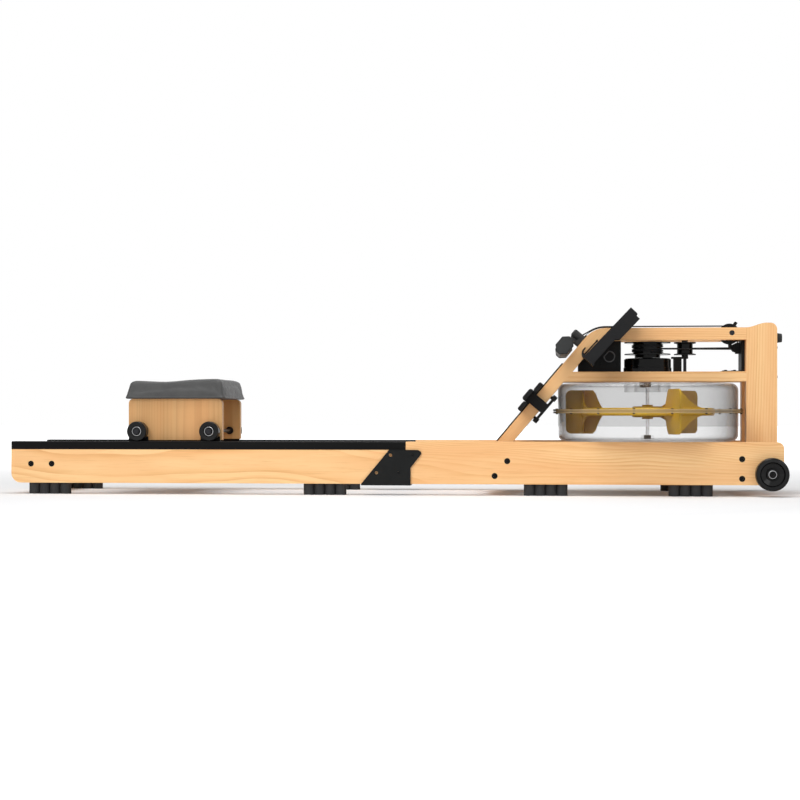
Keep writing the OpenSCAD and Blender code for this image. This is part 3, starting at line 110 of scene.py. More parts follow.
LEFT_LIGHT = (0.64, 0.635, 0.63, 1)
RIGHT_LIGHT = (0.42, 0.435, 0.465, 1)
WHITE = (1, 1, 1, 1)
world = bpy.data.worlds.new("studio")
scene.world = world
world.use_nodes = True
sky = world.node_tree
sky_way = add(sky, "SeparateXYZ", {0: add(sky, "TexCoord").outputs["Generated"]})
sky_side = add(sky, "MapRange", {0: sky_way.outputs[0], 1: -0.7, 2: 0.9})
sky_light = add(sky, "Mix", {0: sky_side, 6: LEFT_LIGHT, 7: RIGHT_LIGHT}, data_type="RGBA")
sky_colour = add(sky, "Mix", {0: seen_white(sky), 6: sky_light, 7: WHITE}, data_type="RGBA")
feed(sky.nodes["Background"], {"Color": sky_colour})


# Floor: matt white paint, with the machine's soft shadow on it. Away from the machine it
# turns to the plain white of the background, which starts 1.2 m from the middle.
floor_mesh = bpy.data.meshes.new("floor")
floor_mesh.from_pydata([(-20, -14, 0), (20, -14, 0), (20, 30, 0), (-20, 30, 0)], [], [(0, 1, 2, 3)])
floor = bpy.data.objects.new("floor", floor_mesh)
scene.collection.objects.link(floor)
floor_paint = bpy.data.materials.new("matt_white_paint")
floor_paint.use_nodes = True
fp = floor_paint.node_tree
floor_at = add(fp, "TexCoord").outputs["Object"]
roller_marks = add(fp, "TexNoise", {"Vector": floor_at, "Scale": 1000 / 333.3})
paint_tone = add(fp, "Mix", {0: roller_marks, 6: lin("#DADADA"), 7: lin("#DEDEDE")}, data_type="RGBA")
from_middle = add(fp, "VectorMath", {0: floor_at}, operation="LENGTH")
away = add(fp, "MapRange", {0: from_middle, 1: 1.2, 2: 4.5, 3: 0.04})
glow = add(fp, "Math", {0: seen_white(fp), 1: away}, operation="MULTIPLY")
feed(fp.nodes["Principled BSDF"], {"Base Color": paint_tone, "Roughness": 0.9,
                                   "Specular IOR Level": 0.0, "Emission Color": WHITE,
                                   "Emission Strength": glow})
floor_mesh.materials.append(floor_paint)


# Studio lamps: three soft boxes, a large one overhead, one at the front left and a weak one
# at the front right, which only softens the shadows.
def lamp(name, at, aim, size, watts):
    """A soft square lamp that points at a spot."""
    data = bpy.data.lights.new(name, "AREA")
    data.size = size
    data.energy = watts
    o = bpy.data.objects.new(name, data)
    o.location = at
    o.rotation_euler = (Vector(aim) - Vector(at)).to_track_quat("-Z", "Y").to_euler()
    scene.collection.objects.link(o)


lamp("overhead", (0.1, -0.7, 2.9), (0.1, 0, 0.2), 1.9, 66)
lamp("front_left", (-1.9, -3.7, 2.7), (0.0, 0, 0.2), 1.6, 56)
lamp("front_right", (2.6, -3.4, 1.5), (0.3, 0, 0.2), 1.2, 8)


# Rails and cross boards: solid ash boards, sawn along the grain, planed, rounded and oiled.
# The four rails stand on edge, and the boards between them are held by bolts through the rails.
MM = 0.001


def surface(name, roughness, specular=0.5):
    """Starts a procedural material. Returns it, its tree, its shader and the object coordinates."""
    m = bpy.data.materials.new(name)
    m.use_nodes = True
    t = m.node_tree
    shader = t.nodes["Principled BSDF"]
    feed(shader, {"Roughness": roughness, "Specular IOR Level": specular})
    return m, t, shader, add(t, "TexCoord").outputs["Object"]


def dress(material, *names):
    """Gives CAD nodes their material."""
    for name in names:
        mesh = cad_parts[name].data
        for i in range(max(1, len(mesh.materials))):
            if mesh.materials:
                mesh.materials[i] = material
            else:
                mesh.materials.append(material)


def wood(name, turn, pith, calm=1.0, ring_mm=7.2, stave_mm=0.0,
         tones=("#DB9F60", "#F0BC80", "#F9CC92")):
    """Oiled ash: dark late wood between pale early wood, pores along the grain, warm bands.

    turn brings the grain along X, pith is the rings' middle in metres across the grain, and
    calm says how much the rings wander. stave_mm is the width of a glued strip. Real rings are
    2 to 4 mm and pores 0.3 mm wide: both are drawn coarser, so that they show.
    """
    m, t, shader, at = surface(name, 0.46, 0.35)
    grain = add(t, "Mapping", {"Vector": at, "Rotation": turn})
    pattern = {}
    for what, along_mm, across_mm, detail, rough in (
            ("wander", 1111.0, 200.0, 2.0, 0.5), ("ripple", 384.6, 71.43, 2.0, 0.5),
            ("fade", 200.0, 16.67, 2.0, 0.5), ("pore", 71.43, 1.613, 3.0, 0.6),
            ("band", 625.0, 76.92, 3.0, 0.5)):
        drawn = add(t, "Mapping", {"Vector": grain,
                                   "Scale": (1000 / along_mm, 1000 / across_mm, 1000 / across_mm)})
        pattern[what] = add(t, "TexNoise", {"Vector": drawn, "Scale": 1.0, "Detail": detail,
                                            "Roughness": rough})
    part = add(t, "SeparateXYZ", {0: grain})
    wander = 0.14 * calm
    ripple = 0.03 * calm
    y = add(t, "Math", {0: part.outputs[1], 1: pith[0]}, operation="SUBTRACT")
    z = add(t, "Math", {0: part.outputs[2], 1: pith[1] + (wander + ripple) / 2}, operation="SUBTRACT")
    z = add(t, "Math", {0: pattern["wander"], 1: wander, 2: z}, operation="MULTIPLY_ADD")
    z = add(t, "Math", {0: pattern["ripple"], 1: ripple, 2: z}, operation="MULTIPLY_ADD")
    z = add(t, "Math", {0: part.outputs[0], 1: 0.03 * calm, 2: z}, operation="MULTIPLY_ADD")
    from_pith = add(t, "VectorMath", {0: add(t, "CombineXYZ", {1: y, 2: z})}, operation="LENGTH")
    rings = add(t, "Math", {0: from_pith, 1: ring_mm * MM}, operation="DIVIDE")
    ring = add(t, "MapRange", {0: add(t, "Math", {0: rings}, operation="FRACT"), 1: 0.35})
    fade = add(t, "MapRange", {0: pattern["fade"], 1: 0.3, 2: 0.7, 3: 0.35})
    late = add(t, "Math", {0: ring, 1: fade}, operation="MULTIPLY")
    early = add(t, "Math", {0: late, 1: -0.72, 2: 1.0}, operation="MULTIPLY_ADD")
    tone = add(t, "ValToRGB", {0: early}, ((0.2, tones[0]), (0.62, tones[1]), (0.95, tones[2])))
    band = add(t, "MapRange", {0: pattern["band"], 1: 0.42, 2: 0.68, 4: 0.65})
    tone = add(t, "Mix", {0: band, 6: tone, 7: lin("#EDAF74")}, data_type="RGBA")
    pore = add(t, "MapRange", {0: pattern["pore"], 1: 0.56, 2: 0.74, 4: 0.4})
    tone = add(t, "Mix", {0: pore, 6: tone, 7: lin("#CE9154")}, data_type="RGBA")
    if stave_mm:
        stave = add(t, "Math", {0: part.outputs[2], 1: stave_mm * MM}, operation="DIVIDE")
        strip = add(t, "Math", {0: stave}, operation="FLOOR")
        shade = add(t, "TexWhiteNoise", {"W": strip}, noise_dimensions="1D").outputs["Value"]
        darker = add(t, "Math", {0: shade, 1: 0.6}, operation="MULTIPLY")
        tone = add(t, "Mix", {0: darker, 6: tone, 7: lin("#C48D55")}, data_type="RGBA")
    raised = add(t, "Math", {0: late, 1: 0.25}, operation="MULTIPLY")
    height = add(t, "Math", {0: raised, 1: pattern["pore"]}, operation="SUBTRACT")
    feed(shader, {"Base Color": tone,
                  "Roughness": add(t, "MapRange", {0: pattern["pore"], 1: 0.3, 2: 0.75, 3: 0.40, 4: 0.56}),
                  "Normal": add(t, "Bump", {"Height": height, "Strength": 0.35, "Distance": 0.12 * MM})})
    return m


ash_rail = wood("ash_along", (0, 0, 0), (0.02, 0.055), 1.6, 5.6)
ash_rail_2 = wood("ash_along_front", (0, 0, 0), (-0.1, 0.06), 1.3, 5.6)
ash_across = wood("ash_across", (0, 0, math.radians(-90)), (0.3, 0.02))
dress(ash_rail, "rear_rail_near", "rear_rail_far")
dress(ash_rail_2, "front_rail_near", "front_rail_far")
dress(ash_across, "rear_cross_board", "tilted_cross_board", "front_cross_board")


# Posts, beams and deck: the same oiled ash, with its grain along each piece. The sloped beams
# have sawn, rounded heads that meet the top beams, and the deck carries the rope drive.
SLOPE = math.radians(49.75)
ash_beam = wood("ash_beam", (0, 0, 0), (-0.01, 0.36), 0.5, 5.6)
ash_up = wood("ash_upright", (0, math.radians(90), 0), (-0.02, -0.86), 0.25, 6.5)
ash_slope = wood("ash_sloped", (0, SLOPE, 0), (-0.02, -0.28), 0.35, 5.0)
dress(ash_up, "post_near", "post_far")
dress(ash_slope, "sloped_beam_near", "sloped_beam_far")
dress(ash_beam, "top_beams", "deck_beams", "deck_board")


# Seat tracks: a black PVC extrusion screwed on each rear rail. Its die lines run along it, so
# it shows long soft streaks and a dull shine.
def moulded(name, code, roughness, specular, grain_mm, depth_mm, scuff=0.25, stretch=(1, 1, 1)):
    """Dark plastic, paint or rubber: a cloudy tone, a fine grain and faint paler scuffs.

    The clouds are 45 mm and the scuffs 17 mm across. The grain is drawn at 0.5 to 1.5 mm,
    because the real one, under 0.2 mm, wouldn't show.
    """
    m, t, shader, at = surface(name, roughness, specular)
    r, g, b, _ = lin(code)
    cloudy = (r * 1.5 + 0.003, g * 1.5 + 0.003, b * 1.5 + 0.0034, 1)
    scuffed = (r * 2.2 + 0.008, g * 2.2 + 0.008, b * 2.2 + 0.008, 1)
    laid = add(t, "Mapping", {"Vector": at, "Scale": stretch})
    dragged = add(t, "Mapping", {"Vector": at, "Scale": (stretch[0] * 0.3, 1, 1.6)})
    cloud = add(t, "TexNoise", {"Vector": laid, "Scale": 1000 / 45.45, "Detail": 4.0})
    grain = add(t, "TexNoise", {"Vector": laid, "Scale": 1000 / grain_mm})
    mark = add(t, "TexNoise", {"Vector": dragged, "Scale": 1000 / 16.67, "Detail": 5.0,
                               "Roughness": 0.65})
    rub = add(t, "MapRange", {0: mark, 1: 0.58, 2: 0.76, 4: scuff})
    clouded = add(t, "MapRange", {0: cloud, 1: 0.3, 2: 0.7, 4: 0.45})
    body = add(t, "Mix", {0: clouded, 6: (r, g, b, 1), 7: cloudy}, data_type="RGBA")
    rough = add(t, "MapRange", {0: cloud, 1: 0.3, 2: 0.7, 3: roughness - 0.05, 4: roughness + 0.06})
    feed(shader, {"Base Color": add(t, "Mix", {0: rub, 6: body, 7: scuffed}, data_type="RGBA"),
                  "Roughness": add(t, "Math", {0: rub, 1: 0.2, 2: rough}, operation="MULTIPLY_ADD"),
                  "Normal": add(t, "Bump", {"Height": grain, "Strength": 0.5,
                                            "Distance": depth_mm * MM})})
    return m


track_plastic = moulded("black_track_extrusion", "#111111", 0.42, 0.06, 0.7, 0.015, 0.18, (0.04, 1, 1))
dress(track_plastic, "seat_tracks")


# Splice saddles and brackets: bent and welded sheet steel, powder coated black. The coat is
# matt and slightly orange-peeled. The saddles are screwed over the joints of the rails.
saddle_paint = moulded("black_powder_coat", "#191A1A", 0.55, 0.1, 0.6, 0.03, 0.12)
dress(saddle_paint, "splice_plates", "guide_bracket", "recoil_bracket", "rope_keeper")


# Bolts and saddle screws: socket heads of blackened steel, nearly black with a low shine.
# They are screwed into barrel nuts in the wood.
bolt_black = moulded("blackened_bolt_steel", "#050505", 0.3, 0.16, 0.5, 0.02, 0.3)
dress(bolt_black, "frame_bolts", "wheel_bolts")


# Feet, seat stops, bumpers and handle rests: moulded black rubber, dull and a little greyed
# by dust. They are screwed or plugged into the frame.
foot_rubber = moulded("black_rubber", "#313131", 0.72, 0.18, 0.9, 0.06, 0.2)
dress(foot_rubber, "rubber_feet", "seat_stops", "storage_bumpers", "handle_rests")


# Front sheet and rope guides: thin ABS sheet screwed to the sloped beams, and moulded ABS
# strips on the top beams. The surface is matt black with a fine texture.
matt_plastic = moulded("matt_black_plastic", "#0C0C0C", 0.46, 0.12, 0.55, 0.03)
dress(matt_plastic, "front_sheet", "rope_guide", "cord_guide")


# Control housing: a box of the same moulded ABS, screwed to the deck, with a raised ring on
# its near face. The ring's front face is painted paler than the box, a painted highlight.
housing_paint = matt_plastic.copy()
housing_paint.name = "housing_plastic_with_painted_knob_highlight"
ht = housing_paint.node_tree
housing_shader = ht.nodes["Principled BSDF"]
plain_tone = housing_shader.inputs["Base Color"].links[0].from_socket
proud = add(ht, "SeparateXYZ", {0: add(ht, "TexCoord").outputs["Object"]}).outputs[1]
knob_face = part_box("control_housing")[0][1]
# Painted highlight: the ring's foremost 0.8 mm, fading out by 1.2 mm, is painted pale grey.
knob_highlight = add(ht, "MapRange", {0: proud, 1: knob_face + 0.8 * MM, 2: knob_face + 1.2 * MM, 3: 1.0, 4: 0.0})
feed(housing_shader, {"Base Color": add(ht, "Mix", {0: knob_highlight, 6: plain_tone, 7: lin("#585859")},
                                        data_type="RGBA")})
dress(housing_paint, "control_housing")


# Axles of the pulleys and of the seat: turned and ground carbon steel, dark grey with a soft
# metal shine. They are pressed or bolted into their brackets and panels.
def metal(name, code, roughness, brushed=(1, 1, 1)):
    """Bare or plated metal: brushing lines 1.1 mm apart, coarser than real ones, and stains."""
    m, t, shader, at = surface(name, roughness)
    r, g, b, _ = lin(code)
    drawn = add(t, "Mapping", {"Vector": at, "Scale": brushed})
    line = add(t, "TexNoise", {"Vector": drawn, "Scale": 1000 / 1.111, "Detail": 3.0})
    stain = add(t, "TexNoise", {"Vector": at, "Scale": 1000 / 22.22, "Detail": 4.0})
    stained = add(t, "MapRange", {0: stain, 1: 0.35, 2: 0.75})
    feed(shader, {"Metallic": 1.0,
                  "Base Color": add(t, "Mix", {0: stained, 6: (r, g, b, 1),
                                               7: (r * 0.72, g * 0.72, b * 0.7, 1)}, data_type="RGBA"),
                  "Roughness": add(t, "MapRange", {0: line, 1: 0.3, 2: 0.7, 3: roughness - 0.06,
                                                   4: roughness + 0.12}),
                  "Normal": add(t, "Bump", {"Height": line, "Strength": 0.2, "Distance": 0.02 * MM})})
    return m


dark_steel = metal("dark_machined_steel", "#333336", 0.34)
dress(dark_steel, "pulley_axles", "seat_axles")


# Clutch housing, rope drum and pulleys: turned black nylon, with the even gloss of a lathe
# cut. The drum and the clutch share the hub shaft, and the pulleys turn on their axles.
def gloss(material, weight, roughness):
    """Adds a clear coat's sharper shine to a material."""
    feed(material.node_tree.nodes["Principled BSDF"], {"Coat Weight": weight, "Coat Roughness": roughness})


satin_turned = moulded("turned_black_nylon", "#030303", 0.3, 0.03, 1.1, 0.01, 0.12)
gloss(satin_turned, 0.3, 0.08)
dress(satin_turned, "clutch_housing", "rope_drum", "recoil_pulley", "idler_pulley")


# Drive rope: black braided polyester, 3.6 mm thick, dull with a fine herringbone. It runs from
# the beams' bend over the idler and the guide pin to the drum, and winds round it twice.
SHIFT = 1048.0                                   # the CAD's X counts from the rails' rear end
ROPE_R = 1.8
ROPE_WIDE = ROPE_R / math.cos(math.pi / 8)       # the CAD's cord has eight sides
ROPE_LIE = ROPE_WIDE + 0.1                       # from the rope's middle to what it lies on
DRUM_X = 1740.0
DRUM_IN = 39.5 + ROPE_LIE
RUN_Z = 396.4                                    # height of the run from the guide to the drum
PITCH = 2 * ROPE_WIDE + 0.5
BEND_X, BEND_Z, BEND_R = 1624.943, 377.5, 82.5   # the rope's arc over the beams' heads
BEAM_R = 75.0                                    # the heads' own arc
IDLER_R = 20.0
IDLER_X, IDLER_Z = 1962.0, 460.0 - IDLER_R - ROPE_LIE
PIN_R = 6.0
PIN_X, PIN_Z = 1976.0, RUN_Z + ROPE_LIE + PIN_R
FOOT_X, FOOT_Z = 1329.0, 144.0                   # foot of the sloped beams
STEPS = 48                                       # steps in one turn on the drum
BRAID_MM = 3.846

cord_mat, ct, cord_shader, _ = surface("braided_cord", 0.7, 0.25)
cord_part = add(ct, "SeparateXYZ", {0: add(ct, "TexCoord").outputs["UV"]})
strands = []
for hand in (1, -1):
    along = add(ct, "Math", {0: cord_part.outputs[1], 1: hand * 2 * math.pi * 1000 / BRAID_MM},
                operation="MULTIPLY")
    strand = add(ct, "Math", {0: cord_part.outputs[0], 1: 2 * math.pi * 4, 2: along},
                 operation="MULTIPLY_ADD")
    strands.append(add(ct, "Math", {0: strand}, operation="SINE"))
crossing = add(ct, "Math", {0: strands[0], 1: strands[1]}, operation="MULTIPLY")
braid = add(ct, "MapRange", {0: crossing, 1: -1.0})
# Painted shade and painted highlight: the cord is painted darker where the braid's relief dips and paler
# on its crests.
feed(cord_shader, {"Base Color": add(ct, "ValToRGB", {0: braid},
                                     ((0.1, "#151516"), (0.6, "#232325"), (1.0, "#39393C"))),
                   "Normal": add(ct, "Bump", {"Height": braid, "Strength": 0.8,
                                              "Distance": 0.25 * MM})})


def tube(name, pts, radius, sides, material):
    """One unbroken round tube along its points, with U round it and V along it in metres."""
    verts, faces, uvs = [], [], []
    run = [0.0]
    for a, b in zip(pts, pts[1:]):
        run.append(run[-1] + (b - a).length)
    side = Vector((0, 1, 0))
    for i, p in enumerate(pts):
        ahead = (pts[min(i + 1, len(pts) - 1)] - pts[max(i - 1, 0)]).normalized()
        side = (side - ahead * side.dot(ahead)).normalized()
        up = ahead.cross(side)
        for j in range(sides):
            a = 2 * math.pi * j / sides
            verts.append(p + radius * (math.cos(a) * side + math.sin(a) * up))
    for i in range(len(pts) - 1):
        for j in range(sides):
            q = (j + 1) % sides
            faces.append((i * sides + j, i * sides + q, (i + 1) * sides + q, (i + 1) * sides + j))
            uvs.append(((j / sides, run[i]), ((j + 1) / sides, run[i]),
                        ((j + 1) / sides, run[i + 1]), (j / sides, run[i + 1])))
    mesh = bpy.data.meshes.new(name)
    top = (len(pts) - 1) * sides
    caps = [tuple(reversed(range(sides))), tuple(range(top, top + sides))]
    mesh.from_pydata([tuple(v) for v in verts], [], faces + caps)
    layer = mesh.uv_layers.new(name="UVMap")
    for f, corners in zip(mesh.polygons, uvs):
        for k, uv in zip(f.loop_indices, corners):
            layer.data[k].uv = uv
    for f in mesh.polygons:
        f.use_smooth = len(f.vertices) == 4
    mesh.materials.append(material)
    o = bpy.data.objects.new(name, mesh)
    scene.collection.objects.link(o)
    return o


def arc_points(x, z, r, a0, a1, n):
    """Points of an arc in the upright middle plane, in the CAD's millimetres."""
    out = []
    for i in range(n + 1):
        a = math.radians(a0 + (a1 - a0) * i / n)
        out.append((x + r * math.cos(a), 0.0, z + r * math.sin(a)))
    return out


def winding(z, a0, way, turns, r, pitch):
    """Helical turns on the drum, side by side."""
    out = []
    for i in range(1, STEPS * turns + 1):
        a = math.radians(a0 + way * i * 360 / STEPS)
        out.append((DRUM_X + r * math.cos(a), r * math.sin(a), z + way * pitch * i / STEPS))
    return out


def metres(pts):
    """Turns the CAD's points in millimetres into the frame's metres."""
    return [Vector(((x - SHIFT) * MM, y * MM, z * MM)) for x, y, z in pts]


def slope_point(s, n):
    """A point s along the sloped beams and n above them."""
    c, w = math.cos(SLOPE), math.sin(SLOPE)
    return (FOOT_X + s * c - n * w, 0.0, FOOT_Z + s * w + n * c)


HOLD_S, HOLD_N = 315.3 + 27.0 - 2.0 + 0.3, 27.8 - 4.0    # where the rope enters the handle
bend_s = (BEND_Z - FOOT_Z + BEAM_R * math.cos(SLOPE)) / math.sin(SLOPE)
bend_far = math.hypot(HOLD_S - bend_s, HOLD_N + BEAM_R)
LEAVE = (math.degrees(math.atan2(HOLD_N + BEAM_R, HOLD_S - bend_s))
         - math.degrees(math.acos(BEND_R / bend_far)) + math.degrees(SLOPE))
lead = math.asin(DRUM_IN / (PIN_X - DRUM_X))
rope_way = (arc_points(BEND_X, BEND_Z, BEND_R, LEAVE, 90, 12)
            + arc_points(IDLER_X, IDLER_Z, IDLER_R + ROPE_LIE, 90, 0, 16)
            + arc_points(PIN_X, PIN_Z, PIN_R + ROPE_LIE, 0, -90, 10)
            + [(PIN_X - 2, 0.0, RUN_Z)]
            + [(DRUM_X + DRUM_IN * math.sin(lead), -DRUM_IN * math.cos(lead), RUN_Z)]
            + winding(RUN_Z, math.degrees(lead) - 90, -1, 2, DRUM_IN, PITCH))
drive_rope = tube("rope_braided", metres(rope_way), ROPE_R * MM, 14, cord_mat)
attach(drive_rope, "frame")
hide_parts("drive_rope")


# Recoil cord: the same braided cord, which pulls the drum back after each stroke. It runs from
# its knot in the guide on the far side round the recoil pulley, and winds twice on the drum.
ANCHOR_X, ANCHOR_Y = 1991.0 - 5.0, 16.0
RECOIL_X, RECOIL_Y = 1843.0, 14.0
RECOIL_IN = 21.5 + ROPE_LIE
CORD_Z = RUN_Z + PITCH
reach = math.hypot(ANCHOR_X - RECOIL_X, ANCHOR_Y - RECOIL_Y)
turn_0 = (math.degrees(math.atan2(ANCHOR_Y - RECOIL_Y, ANCHOR_X - RECOIL_X))
          + math.degrees(math.acos(RECOIL_IN / reach)))
drum_way = math.hypot(RECOIL_X - DRUM_X, RECOIL_Y)
turn_1 = (math.degrees(math.atan2(RECOIL_Y, RECOIL_X - DRUM_X))
          + math.degrees(math.acos((DRUM_IN - RECOIL_IN) / drum_way)))
cord_way = [(ANCHOR_X, ANCHOR_Y, CORD_Z)]
for i in range(5):
    a = math.radians(turn_0 + (turn_1 - turn_0) * i / 4)
    cord_way.append((RECOIL_X + RECOIL_IN * math.cos(a), RECOIL_Y + RECOIL_IN * math.sin(a), CORD_Z))
a = math.radians(turn_1)
cord_way.append((DRUM_X + DRUM_IN * math.cos(a), DRUM_IN * math.sin(a), CORD_Z))
cord_way += winding(CORD_Z, turn_1, 1, 2, DRUM_IN, PITCH)
recoil_cord = tube("recoil_braided", metres(cord_way), ROPE_R * MM, 14, cord_mat)
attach(recoil_cord, "frame")
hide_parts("recoil_cord")


# Pull rope: the length of the drive rope between the beams' bend and the handle, of the same
# braid. It pays out as the handle is pulled, so it stretches between the two.
leave = math.radians(LEAVE)
fixed_end = (BEND_X + BEND_R * math.cos(leave), 0.0, BEND_Z + BEND_R * math.sin(leave))
free_end = slope_point(HOLD_S, HOLD_N)
pull_way = []
for i in range(25):
    pull_way.append(tuple(p + (q - p) * i / 24 for p, q in zip(fixed_end, free_end)))
pull_pts = metres(pull_way)
pull_rope = tube("pull_braided", pull_pts, ROPE_R * MM, 14, cord_mat)
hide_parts("pull_rope")
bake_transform(pull_rope)


# Tank: two vacuum-formed shells of smoky clear polycarbonate, screwed together at their
# flanges. It is glossy, nearly clear face-on and brown-grey where the wall is seen edge-on.
TANK_X = 0.692
FLANGE_R = 0.2464                                # the flange starts at this radius
RIB_R = 0.0662                                   # the moulded ribs end at this radius
shell, st, shell_shader, shell_at = surface("smoky_polycarbonate", 0.06, 0.4)
facing = add(st, "LayerWeight", {"Blend": 0.5}).outputs["Facing"]
edge_on = add(st, "Math", {0: facing, 1: 2.6}, operation="POWER")
lip_edge = add(st, "Math", {0: facing, 1: 1.4}, operation="POWER")
from_axis = add(st, "VectorMath", {0: shell_at, 1: (TANK_X, 0, 0)}, operation="SUBTRACT")
flat = add(st, "VectorMath", {0: from_axis, 1: (1, 1, 0)}, operation="MULTIPLY")
shell_r = add(st, "VectorMath", {0: flat}, operation="LENGTH")
lip = add(st, "MapRange", {0: shell_r, 1: FLANGE_R - 0.2 * MM, 2: FLANGE_R + 0.2 * MM})
ribs = add(st, "MapRange", {0: shell_r, 1: RIB_R - 0.2 * MM, 2: RIB_R + 0.2 * MM, 3: 0.4})
haze = add(st, "TexNoise", {"Vector": shell_at, "Scale": 1000 / 111.1, "Detail": 4.0})
wipe_marks = add(st, "TexNoise", {"Vector": shell_at, "Scale": 1000 / 38.46, "Detail": 5.0})
forming_waves = add(st, "TexNoise", {"Vector": shell_at, "Scale": 1000 / 71.43})
clear = add(st, "Mix", {0: add(st, "MapRange", {0: haze, 1: 0.3, 2: 0.7}), 6: lin("#4A4A4C"),
                        7: lin("#3E3D3D")}, data_type="RGBA")
wall = add(st, "Mix", {0: edge_on, 6: clear, 7: lin("#7D6F62")}, data_type="RGBA")
flange = add(st, "Mix", {0: lip_edge, 6: lin("#B8A078"), 7: lin("#2E251C")}, data_type="RGBA")
thick = add(st, "Math", {0: add(st, "MapRange", {0: edge_on, 3: 0.125, 4: 0.9}), 1: ribs},
            operation="MULTIPLY")
feed(shell_shader, {"Base Color": add(st, "Mix", {0: lip, 6: wall, 7: flange}, data_type="RGBA"),
                    "Alpha": add(st, "Math", {0: lip, 1: 0.5, 2: thick}, operation="MULTIPLY_ADD"),
                    "Roughness": add(st, "MapRange", {0: wipe_marks, 1: 0.4, 2: 0.75, 3: 0.03, 4: 0.12}),
                    "Normal": add(st, "Bump", {"Height": forming_waves, "Strength": 0.12,
                                               "Distance": 0.8 * MM})})
dress(shell, "tank_lower", "tank_upper")
scene.cycles.transparent_max_bounces = 32        # light crosses many walls in the tank


# Tank's seal, screws, plug and bushes: a black rubber ring and blackened screws in the flange,
# a filler plug and two shaft bushes of pale moulded nylon, slightly waxy.
nylon = moulded("pale_moulded_nylon", "#A9A9A7", 0.4, 0.3, 0.9, 0.01, 0.1)
dress(foot_rubber, "tank_gasket")
dress(bolt_black, "flange_screws")
dress(nylon, "shaft_bushes", "fill_plug")


# Impeller: one injection moulding of amber nylon, a disc with three curved paddles. It is
# evenly coloured with faint flow swirls and a satin shine, and is pinned to the shaft.
amber, at_tree, amber_shader, amber_at = surface("amber_moulded_plastic", 0.36, 0.45)
swirl = add(at_tree, "TexNoise", {"Vector": amber_at, "Scale": 1000 / 55.56, "Detail": 3.0})
skin = add(at_tree, "TexNoise", {"Vector": amber_at, "Scale": 1000 / 1.111})
feed(amber_shader, {"Base Color": add(at_tree, "ValToRGB", {0: swirl},
                                      ((0.3, "#DDAA12"), (0.55, "#E8B71C"), (0.8, "#EFC32E"))),
                    "Roughness": add(at_tree, "MapRange", {0: swirl, 1: 0.3, 2: 0.8, 3: 0.3, 4: 0.44}),
                    "Normal": add(at_tree, "Bump", {"Height": skin, "Strength": 0.4,
                                                    "Distance": 0.02 * MM})})
dress(amber, "impeller")


# Drive shaft: ground and polished stainless steel, bright, with fine lines round it. It turns
# in the bushes and carries the impeller.
polished = metal("polished_stainless_steel", "#F2F2F4", 0.12, (1, 1, 0.05))
dress(polished, "drive_shaft")


# Seat panels and board: strips of ash glued into panels, their grain upright, their tones darker
# than the rails' as painted shade under the cushion. The board is screwed on the panels, and the guide
# shoes are moulded ABS.
# Painted shade: these three tones are darker than the rails' ash, for the shade the cushion casts on the
# panels.
ash_panel_painted_shade = wood("ash_staved_panel_painted_shade", (0, math.radians(90), 0), (-0.3, 0.55), 0.15, 4.6, 21.0,
                 ("#A97C4D", "#C0955F", "#CAA26E"))
dress(ash_panel_painted_shade, "seat_panels")
dress(ash_across, "seat_board")
dress(matt_plastic, "roller_guards")


# Seat rollers: black polyurethane treads moulded on nylon hubs, glossy where they run on the
# tracks. They turn on the seat's two axles.
roller_nylon = moulded("glossy_black_tread", "#030303", 0.3, 0.05, 1.2, 0.01, 0.15)
gloss(roller_nylon, 0.4, 0.05)
dress(roller_nylon, "rear_rollers", "front_rollers")


# Cushion: moulded foam in a dark grey coated cover, stapled under the seat board. The cover
# is matt with a pebbled skin. The pebbles are drawn at 1.6 mm, where real ones are 0.8 mm.
cover, vt, cover_shader, cover_at = surface("dark_grey_coated_cover", 0.4, 0.3)
pebble = add(vt, "TexVoronoi", {"Vector": cover_at, "Scale": 1000 / 1.613}, feature="DISTANCE_TO_EDGE")
wrinkle = add(vt, "TexNoise", {"Vector": cover_at, "Scale": 1000 / 14.286, "Detail": 5.0,
                               "Roughness": 0.6})
cover_cloud = add(vt, "TexNoise", {"Vector": cover_at, "Scale": 1000 / 62.5, "Detail": 4.0})
cover_tone = add(vt, "Mix", {0: add(vt, "MapRange", {0: cover_cloud, 1: 0.3, 2: 0.7}),
                             6: lin("#3A3A3A"), 7: lin("#464645")}, data_type="RGBA")
# Painted shade: the grooves between the pebbles are painted darker, towards #333334.
groove_painted_shade = add(vt, "MapRange", {0: pebble, 2: 0.12, 3: 0.35, 4: 0.0})
cover_height = add(vt, "Math", {0: wrinkle, 1: 1.2, 2: add(vt, "MapRange", {0: pebble, 2: 0.25})},
                   operation="MULTIPLY_ADD")
feed(cover_shader, {"Base Color": add(vt, "Mix", {0: groove_painted_shade, 6: cover_tone, 7: lin("#333334")},
                                      data_type="RGBA"),
                    "Roughness": add(vt, "MapRange", {0: wrinkle, 1: 0.3, 2: 0.7, 3: 0.42, 4: 0.6}),
                    "Sheen Weight": 0.03,
                    "Normal": add(vt, "Bump", {"Height": cover_height, "Strength": 0.5,
                                               "Distance": 0.12 * MM})})


def own_copy(name, node):
    """A copy of a CAD node's mesh as a piece of its own."""
    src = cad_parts[node]
    mesh = src.data.copy()
    mesh.name = name
    mesh.transform(src.matrix_world)
    o = bpy.data.objects.new(name, mesh)
    scene.collection.objects.link(o)
    mesh.materials.clear()
    for f in mesh.polygons:
        f.use_smooth = True
        f.material_index = 0
    return o


def apply_all(o):
    """Replaces a piece's mesh by what its modifiers make of it."""
    graph = bpy.context.evaluated_depsgraph_get()
    graph.update()
    mesh = bpy.data.meshes.new_from_object(o.evaluated_get(graph))
    o.modifiers.clear()
    o.data = mesh


